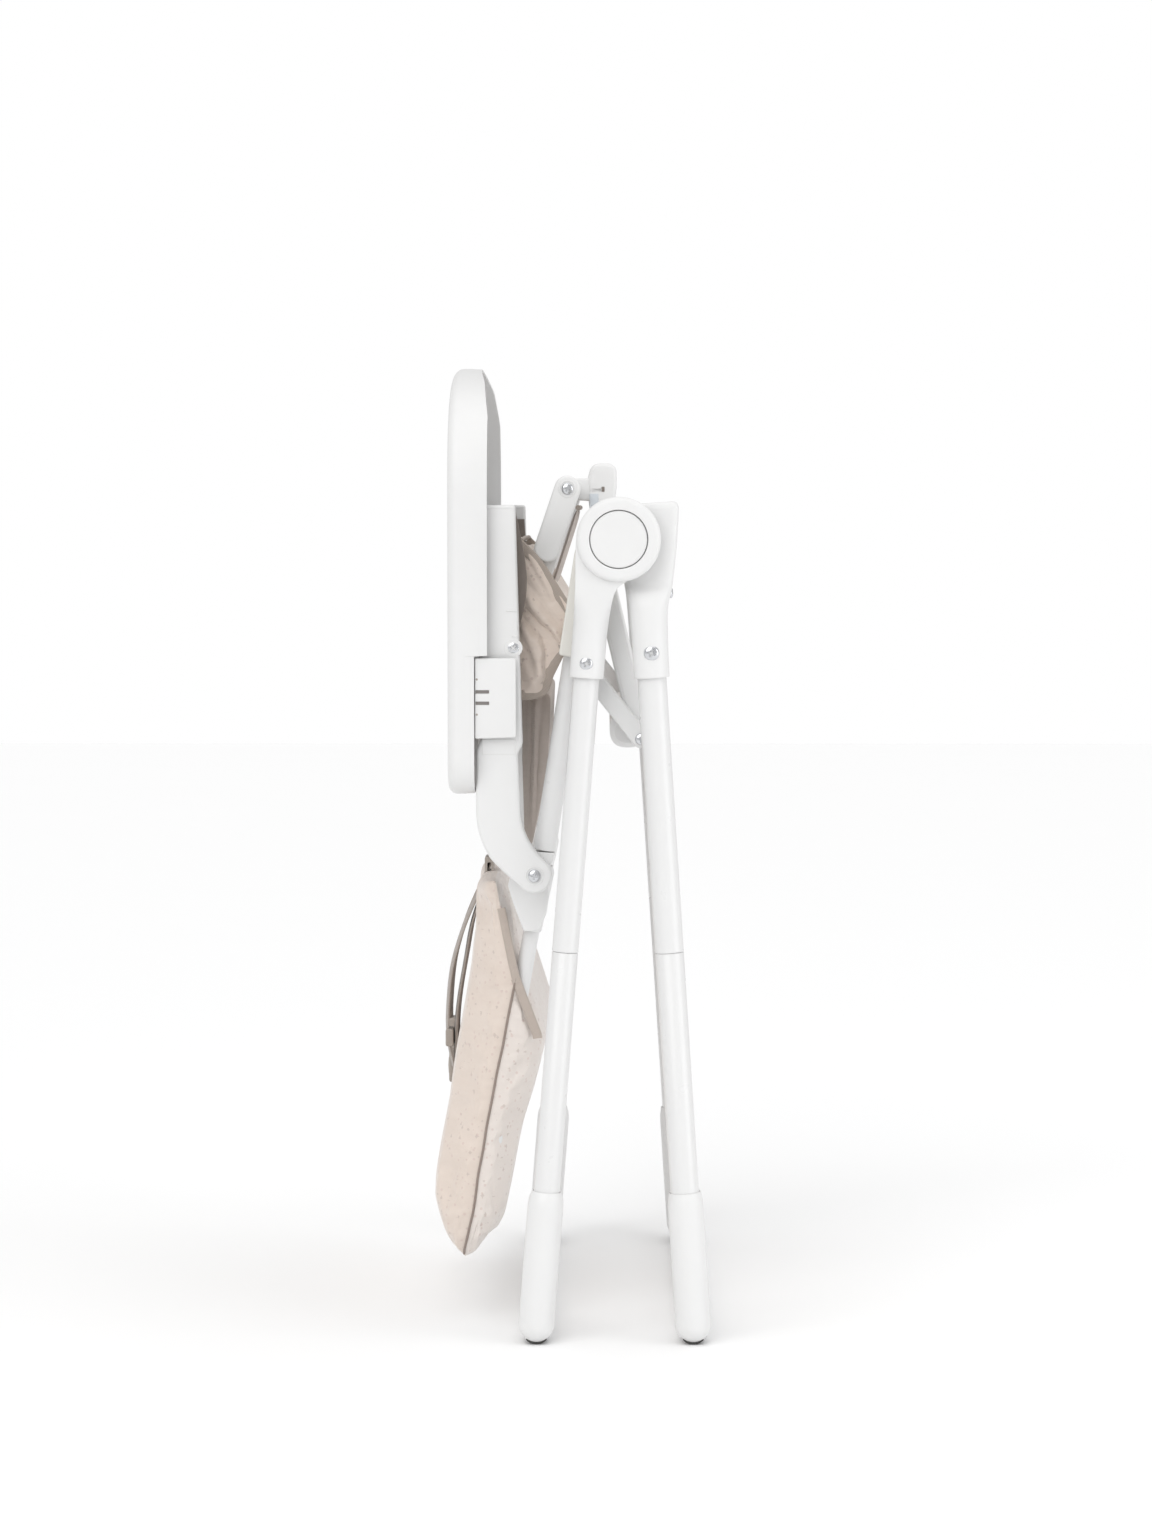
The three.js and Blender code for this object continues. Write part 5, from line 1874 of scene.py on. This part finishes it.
def draped_form(name, outline, outer, folds, ripple, body, finish, rows=46):
    """A slack closed cloth form: an outline carried across the chair, with folds pressed into its ends."""
    outline = resampled(outline, 84)
    centre = sum(outline, Vector((0, 0))) / len(outline)
    end_shares = [0.05, 0.13, 0.21, 0.30, 0.39, 0.48, 0.57, 0.66, 0.75, 0.83, 0.90, 0.95, 0.985]
    levels = [(share, -outer - 0.4 * MM * (1 - share**3)) for share in end_shares]
    for step in range(rows + 1):
        levels.append((1.0, (-outer + 1.5 * MM) * (1 - 2 * step / rows)))
    levels += [(share, outer + 0.4 * MM * (1 - share**3)) for share in reversed(end_shares)]
    rings = [[Vector((centre.x + (p.x - centre.x) * share, y, centre.y + (p.y - centre.y) * share))
              for p in outline] for share, y in levels]
    piece = add_object(name, make_mesh(name, bridge(rings, ends="strip")))
    subdivide(piece)
    proud, deepest = 1.2 * MM, 10 * MM
    for vertex in piece.data.vertices:
        point = vertex.co.copy()
        flat = Vector((point.x, point.z))
        near_end = max(0.0, min(1.0, (abs(point.y) - (outer - 24 * MM)) / (20 * MM)))
        wave = noise.noise(Vector((point.x * 26, point.y * 11, point.z * 20))) * ripple
        fine = noise.noise(Vector((point.x * 70, point.y * 30, point.z * 60))) * ripple * 0.35
        outward = Vector((point.x - centre.x, 0, point.z - centre.y))
        if outward.length > 1e-6:
            vertex.co += outward.normalized() * (wave + fine) * 0.7 * (1 - near_end)
        if near_end <= 0:
            continue
        push = 0.6 * (wave + fine) - 0.4 * ripple
        for a, b, depth, spread in folds:
            away = distance_to_segment(flat, a, b)
            push += depth * MM * math.exp(-((away / (spread * MM)) ** 2))
        from_rim = min(1.0, distance_to_outline(flat, outline) / (12 * MM))
        push *= from_rim * near_end
        push = proud * math.tanh(push / proud) if push > 0 else -deepest * math.tanh(-push / deepest)
        vertex.co.y += math.copysign(push, point.y)
    piece.data.shade_smooth()
    piece.data.materials.append(finish["material"])
    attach(piece, body)
    return piece


def calf_sleeve():
    """The crumpled satin sleeve round the calf bars, with a bound mouth above and below. Its satin is a
    lighter copy, painted light.
    """
    low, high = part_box("calf_cover")
    outer = 188.6 * MM
    corners = [
        (low.x + 0.5 * MM, high.z + 1 * MM, 5 * MM), (low.x + 20 * MM, high.z - 20 * MM, 40 * MM),
        (high.x - 4 * MM, high.z - 60 * MM, 30 * MM), (high.x + 3 * MM, high.z - 67 * MM, 4 * MM),
        (high.x - 3 * MM, low.z + 62 * MM, 30 * MM), (high.x - 7 * MM, low.z + 43 * MM, 5 * MM),
        (high.x - 20 * MM, low.z + 17 * MM, 26 * MM), (low.x + 22 * MM, low.z - 1 * MM, 26 * MM),
        (low.x - 1 * MM, low.z - 5 * MM, 6 * MM), (low.x - 4 * MM, (low.z + high.z) / 2, 60 * MM),
    ]
    outline = rounded(corners, 5 * MM, steps=5)
    width, tall = high.x - low.x, high.z - low.z

    def spot(x_share, z_share):
        """A point of the side view, as shares of the sleeve's width and height."""
        return Vector((low.x + x_share * width, low.z + z_share * tall))

    folds = [
        (spot(0.0, 0.86), spot(0.95, 0.46), 4.5, 8), (spot(0.0, 0.66), spot(0.80, 0.34), -10.0, 5.5),
        (spot(0.1, 0.54), spot(0.95, 0.24), 6.0, 6), (spot(0.02, 0.42), spot(0.36, 0.27), -16.0, 4.5),
        (spot(0.28, 0.34), spot(0.38, 0.12), -15.0, 4.5), (spot(0.55, 0.42), spot(0.62, 0.05), 5.0, 7),
        (spot(0.0, 0.20), spot(0.35, 0.04), -5.0, 6), (spot(0.7, 0.75), spot(0.95, 0.55), -6.0, 5),
        (spot(0.2, 0.92), spot(0.6, 0.62), -4.0, 5),
    ]
    piece = draped_form("calf_sleeve", outline, outer, folds, 3.6 * MM, "calf_rest", SATIN_CRUMPLED_PAINTED_LIGHT)
    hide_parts("calf_cover")
    calf_binding(corners, outer)


def distance_to_segment(point, a, b):
    """How far a point is from a straight piece of line."""
    along = max(0.0, min(1.0, (point - a).dot(b - a) / (b - a).length_squared))
    return (point - a - (b - a) * along).length


def resampled(outline, count):
    """The same closed outline with points at even distances."""
    closed = [*outline, outline[0]]
    lengths = np.cumsum([0.0] + [(Vector(b) - Vector(a)).length for a, b in zip(closed, closed[1:])])
    where = np.linspace(0, lengths[-1], count, endpoint=False)
    xs = np.interp(where, lengths, [p[0] for p in closed])
    ys = np.interp(where, lengths, [p[1] for p in closed])
    return [Vector((x, y)) for x, y in zip(xs, ys)]


def calf_binding(corners, outer):
    """Stitched tape along the sleeve's upper and lower mouth, folded over the rim on both ends."""
    lines = {"upper": [Vector(c[:2]) for c in corners[:4]], "lower": [Vector(c[:2]) for c in corners[5:9]]}
    inward = {"upper": Vector((-0.55, -0.83)), "lower": Vector((-0.5, 0.86))}
    for side_name, side in SIDES.items():
        for label, line in lines.items():
            shifted = [p + inward[label] * 4.2 * MM for p in line]
            path = curve_through([Vector((p.x, side * (outer - 0.2 * MM), p.y)) for p in shifted], 10)
            path = [at(p, y=side * noise.noise(p * 40) * 0.4 * MM) for p in path]
            tape = swept(path, ribbon_section(3.0 * MM, 10 * MM))
            add_piece(f"calf_tape_{label}_{side_name}", [tape], TAPE, "calf_rest")
    for label, corner, reach in (
        ("top", corners[0], outer), ("front", corners[3], outer), ("foot", corners[8], 146 * MM),
    ):
        path = level_row((corner[0], 0, corner[1]), reach, 40)
        path = [at(p, z=noise.noise(p * 22) * 2 * MM) for p in path]
        cord = swept(path, round_section(2 * MM), side=Vector((0, 0, 1)))
        add_piece(f"calf_edge_{label}", [cord], TAPE, "calf_rest")


def calf_panel():
    """The lined board behind the calf bars, between the sleeve and the footrest."""
    run = (FOOTREST_PIVOT - CALF_PIVOT).normalized()
    across = Vector((-run.z, 0, run.x)) * -1
    start = CALF_PIVOT + run * 46 * MM + across * 17 * MM
    end = CALF_PIVOT + run * 148 * MM + across * 15.5 * MM
    half, thick = 160 * MM, 2.6 * MM
    stations, half_around = 32, 20
    rings = []
    for step in range(stations + 1):
        share = step / stations
        y = -half + 2 * half * share
        pull = 1 - 0.9 * (abs(2 * share - 1) ** 14)
        ring = []
        for i in range(2 * half_around):
            outside = i < half_around
            t = (i if outside else 2 * half_around - i) / half_around
            swelling = across * thick * pull * (1 if outside else -1) * (1 - (2 * t - 1) ** 8) * 0.98
            ring.append(at(start.lerp(end, t) + swelling, y=y))
        rings.append(ring)
    piece = add_piece("calf_panel", [bridge(rings)], LINING, "calf_rest")
    for label, point in (("front", end), ("rear", start)):
        cord = swept(level_row(point, half, 30), round_section(2.6 * MM), side=Vector((0, 0, 1)))
        add_piece(f"calf_panel_binding_{label}", [cord], TAPE, "calf_rest")


def footrest():
    """The foot board: a rounded shell on two short arms, with a small latch in each end and a dark block of
    painted shade at the end of each side slot.
    """
    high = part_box("footrest")[1]
    front, top = high.x, high.z
    rear, foot, half = 12.8 * MM, 799.3 * MM, 150 * MM
    corners = [
        (rear + 3 * MM, foot, 4 * MM), (front - 4 * MM, foot, 4 * MM),
        (front - 0.3 * MM, top - 24 * MM, 20 * MM), (front - 0.5 * MM, top, 9 * MM),
        (rear + 4 * MM, top, 12 * MM), (rear, top - 16 * MM, 16 * MM),
        (rear + 1 * MM, top - 34 * MM, 10 * MM),
    ]
    shell = plate(rounded(corners, 4 * MM), -half, half, 4 * MM, steps=6)
    board = add_piece("footrest_board", [shell], PLASTIC, "footrest", ["footrest"])
    carve(board, *[
        side_block(side, (rear + 4 * MM, rear + 14 * MM), (half - 2 * MM, half + 2 * MM),
                   (top - 28 * MM, top - 25 * MM), 0.3 * MM)
        for side in SIDES.values()
    ])
    x, z = FOOTREST_PIVOT.x, FOOTREST_PIVOT.z
    arm_corners = [
        (x - 11 * MM, z - 9 * MM, 9 * MM), (rear + 6 * MM, z - 12 * MM, 2 * MM),
        (rear + 6 * MM, z + 11 * MM, 2 * MM), (x - 11 * MM, z + 10 * MM, 9 * MM),
    ]
    boss = [
        (0, 140 * MM), (11.6 * MM, 140 * MM), (12 * MM, 141 * MM), (12 * MM, 170.4 * MM),
        (11 * MM, 171.5 * MM), (4 * MM, 171.5 * MM), (4 * MM, 187 * MM), (0, 187 * MM),
    ]
    shapes = []
    for side in SIDES.values():
        shapes.append(plate(rounded(arm_corners, 4 * MM), *sided(side, 137 * MM, 149 * MM), 1.8 * MM))
        shapes.append(pin(boss, FOOTREST_PIVOT, side, 40))
    add_piece("footrest_arms", shapes, PLASTIC, "footrest")
    for side_name, side in SIDES.items():
        for label, finish, x_span, outer, z_span in (
            ("latch", LATCH, (rear + 2 * MM, rear + 11 * MM), 150.8 * MM, (top - 46 * MM, top - 30 * MM)),
            # a dark block at the end of the slot: painted shade in the recess
            ("recess_painted_shade", DARK_PAINTED_SHADE, (rear + 14 * MM, rear + 17 * MM), 150.6 * MM, (top - 28 * MM, top - 23 * MM)),
        ):
            shape = side_block(side, x_span, (148 * MM, outer), z_span, 0.4 * MM)
            add_piece(f"footrest_{label}_{side_name}", [shape], finish, "footrest")


# ---------------------------------------------------------------- seat cloth


def seat_sling():
    """The slack seat: dark lining that hangs in upright folds between the arms and the rails."""
    low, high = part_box("seat_sling")
    foot, top = low.z - 10 * MM, high.z + 6 * MM
    corners = [
        (low.x - 4 * MM, top, 4 * MM), (high.x + 1 * MM, top, 4 * MM),
        (high.x - 2 * MM, low.z + 70 * MM, 40 * MM), (low.x + 6 * MM, foot, 4 * MM),
        (low.x - 1 * MM, foot, 3 * MM), (low.x - 3 * MM, low.z + 60 * MM, 40 * MM),
    ]
    folds = [
        (Vector((low.x + 3 * MM, top)), Vector((low.x + 3 * MM, foot)), 4.0, 3.5),
        (Vector((low.x + 10 * MM, top)), Vector((low.x + 5 * MM, foot)), -3.5, 3.0),
        (Vector((high.x - 3 * MM, top)), Vector((low.x + 11 * MM, foot)), 3.5, 4.0),
    ]
    piece = draped_form("seat_sling_cloth", rounded(corners, 4 * MM), high.y, folds, 3.0 * MM,
                        "seat_rails", LINING, rows=40)
    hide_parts("seat_sling")


# ---------------------------------------------------------------- the whole chair


def back_tube():
    """The bent tube inside the cover, from one socket round to the other."""
    centre, run = TUBE_LINE
    radius, bend = 8 * MM, 46 * MM
    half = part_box("back_frame")[1].y - radius
    start, end = stretch("back_frame", centre, run)
    foot = end - radius
    path = []
    for side in (-1, 1):
        leg_points = [(half * side, start + (foot - bend - start) * i / 12) for i in range(13)]
        turn = []
        for step in range(1, 11):
            angle = math.pi / 2 * step / 10
            turn.append((side * (half - bend + bend * math.cos(angle)), foot - bend + bend * math.sin(angle)))
        half_path = [*leg_points, *turn]
        path += half_path if side < 0 else half_path[::-1]
    points = [at(centre + run * along, y=y) for y, along in path]
    add_piece("back_frame_tube", [swept(points, round_section(radius, 32), side=run.cross(ACROSS))],
              ENAMEL, "backrest", ["back_frame"])


def distance_to_outline(point, outline):
    """How far a point is from the nearest part of an outline."""
    return min(distance_to_segment(point, outline[i - 1], outline[i]) for i in range(len(outline)))


def build_chair():
    """Every piece of the chair, first those in pairs and then those across its width."""
    for side_name in SIDES:
        rear, front = Leg("rear", side_name), Leg("front", side_name)
        for leg in (rear, front):
            leg_tubes(leg)
            foot_piece(leg)
            floor_pad(leg)
        rear_hub(rear)
        front_hub(front)
        hub_button(side_name)
        bar_piece(f"hub_axle_{side_name}", "rear_frame", CHROME)
        bar_piece(f"rail_tube_{side_name}", "seat_rails")
        for build in (rail_hub, rail_end, seat_pivot, upper_link, lower_link, arm, arm_painted_shade,
                      tray_button, back_bracket, calf_bar):
            build(side_name)
    for bar, body in (
        ("rear_floor_bar", "rear_frame"), ("front_floor_bar", "front_frame"),
        ("rail_cross_bar", "seat_rails"), ("arm_cross_bar", "arms"), ("back_cross_bar", "backrest"),
    ):
        bar_piece(bar, body)
    for build in (fold_handle, tray, calf_sleeve, calf_panel, footrest, seat_sling, back_pad, harness,
                  back_tube):
        build()


# ---------------------------------------------------------------- camera, floor and light


def place_camera():
    """The chair seen from its right-hand side, from above hub height and a little downwards."""
    data = bpy.data.cameras.new("camera")
    data.sensor_width = 36
    data.lens = 88
    data.clip_start, data.clip_end = 0.1, 40
    camera = add_object("camera", data)
    camera.location = (31.4 * MM, -3864 * MM, 811.2 * MM)
    camera.rotation_euler = (math.radians(90 - 3.98), 0, math.radians(0.46))
    bpy.context.scene.camera = camera


def add_light(name, place, target, size, power, tint=(1.0, 1.0, 1.0)):
    """A soft rectangular lamp that looks at a target."""
    data = bpy.data.lights.new(name, "AREA")
    data.shape = "RECTANGLE"
    data.size, data.size_y = size
    data.energy = power
    data.color = tint
    light = add_object(name, data)
    light.location = place
    light.rotation_euler = (Vector(target) - Vector(place)).to_track_quat("-Z", "Y").to_euler()


def add_sun(name, strength, spread, heading=(0, 0, -1)):
    """A sun with soft shadows, as wide as a spread in degrees, that shines along a heading."""
    data = bpy.data.lights.new(name, "SUN")
    data.energy = strength
    data.angle = math.radians(spread)
    sun = add_object(name, data)
    sun.rotation_euler = Vector(heading).to_track_quat("-Z", "Y").to_euler()


def white_surroundings():
    """A white world: full strength where it is seen, and weaker where it only gives light."""
    world = bpy.data.worlds.new("studio")
    world.use_nodes = True
    tree = world.node_tree
    background = tree.nodes["Background"]
    seen = tree.nodes.new("ShaderNodeLightPath")
    strength = tree.nodes.new("ShaderNodeMapRange")
    strength.inputs["To Min"].default_value = 0.62
    strength.inputs["To Max"].default_value = 1.0
    tree.links.new(seen.outputs["Is Camera Ray"], strength.inputs["Value"])
    tree.links.new(strength.outputs["Result"], background.inputs["Strength"])
    background.inputs["Color"].default_value = colour(1.0, 1.0, 1.0)
    bpy.context.scene.world = world


def light_studio():
    """White surroundings, a broad sun from the camera's side, a fill lamp behind and light from above."""
    white_surroundings()
    add_sun("broad_sun", 1.06, 50, (0.42, 0.80, -0.62))
    add_light("fill", (2.8, -1.6, 1.2), (0, 0, 0.5), (2.0, 2.4), 26, (0.985, 0.99, 1.0))
    add_sun("overhead", 0.85, 70)


def lay_floor():
    """A wide pale floor."""
    size = 9.0
    corners = [Vector((x * size, y * size, 0)) for x, y in ((-1, -1), (1, -1), (1, 1), (-1, 1))]
    mesh = make_mesh("floor", (corners, [(0, 1, 2, 3)]))
    floor = add_object("floor", mesh)
    finish = Finish("pale_floor", colour(0.93, 0.93, 0.93))
    grain = finish.group("fine_grain", Scale=60.0, Broad_scale=1.2)
    finish.mix(grain.outputs["Mask"], colour(0.90, 0.90, 0.90), 0.4)
    finish.roughness(grain.outputs["Mask"], 0.75, 0.9)
    mesh.materials.append(finish.done(None)["material"])


place_camera()
bpy.context.scene.view_settings.view_transform = "Standard"
light_studio()
lay_floor()
build_chair()
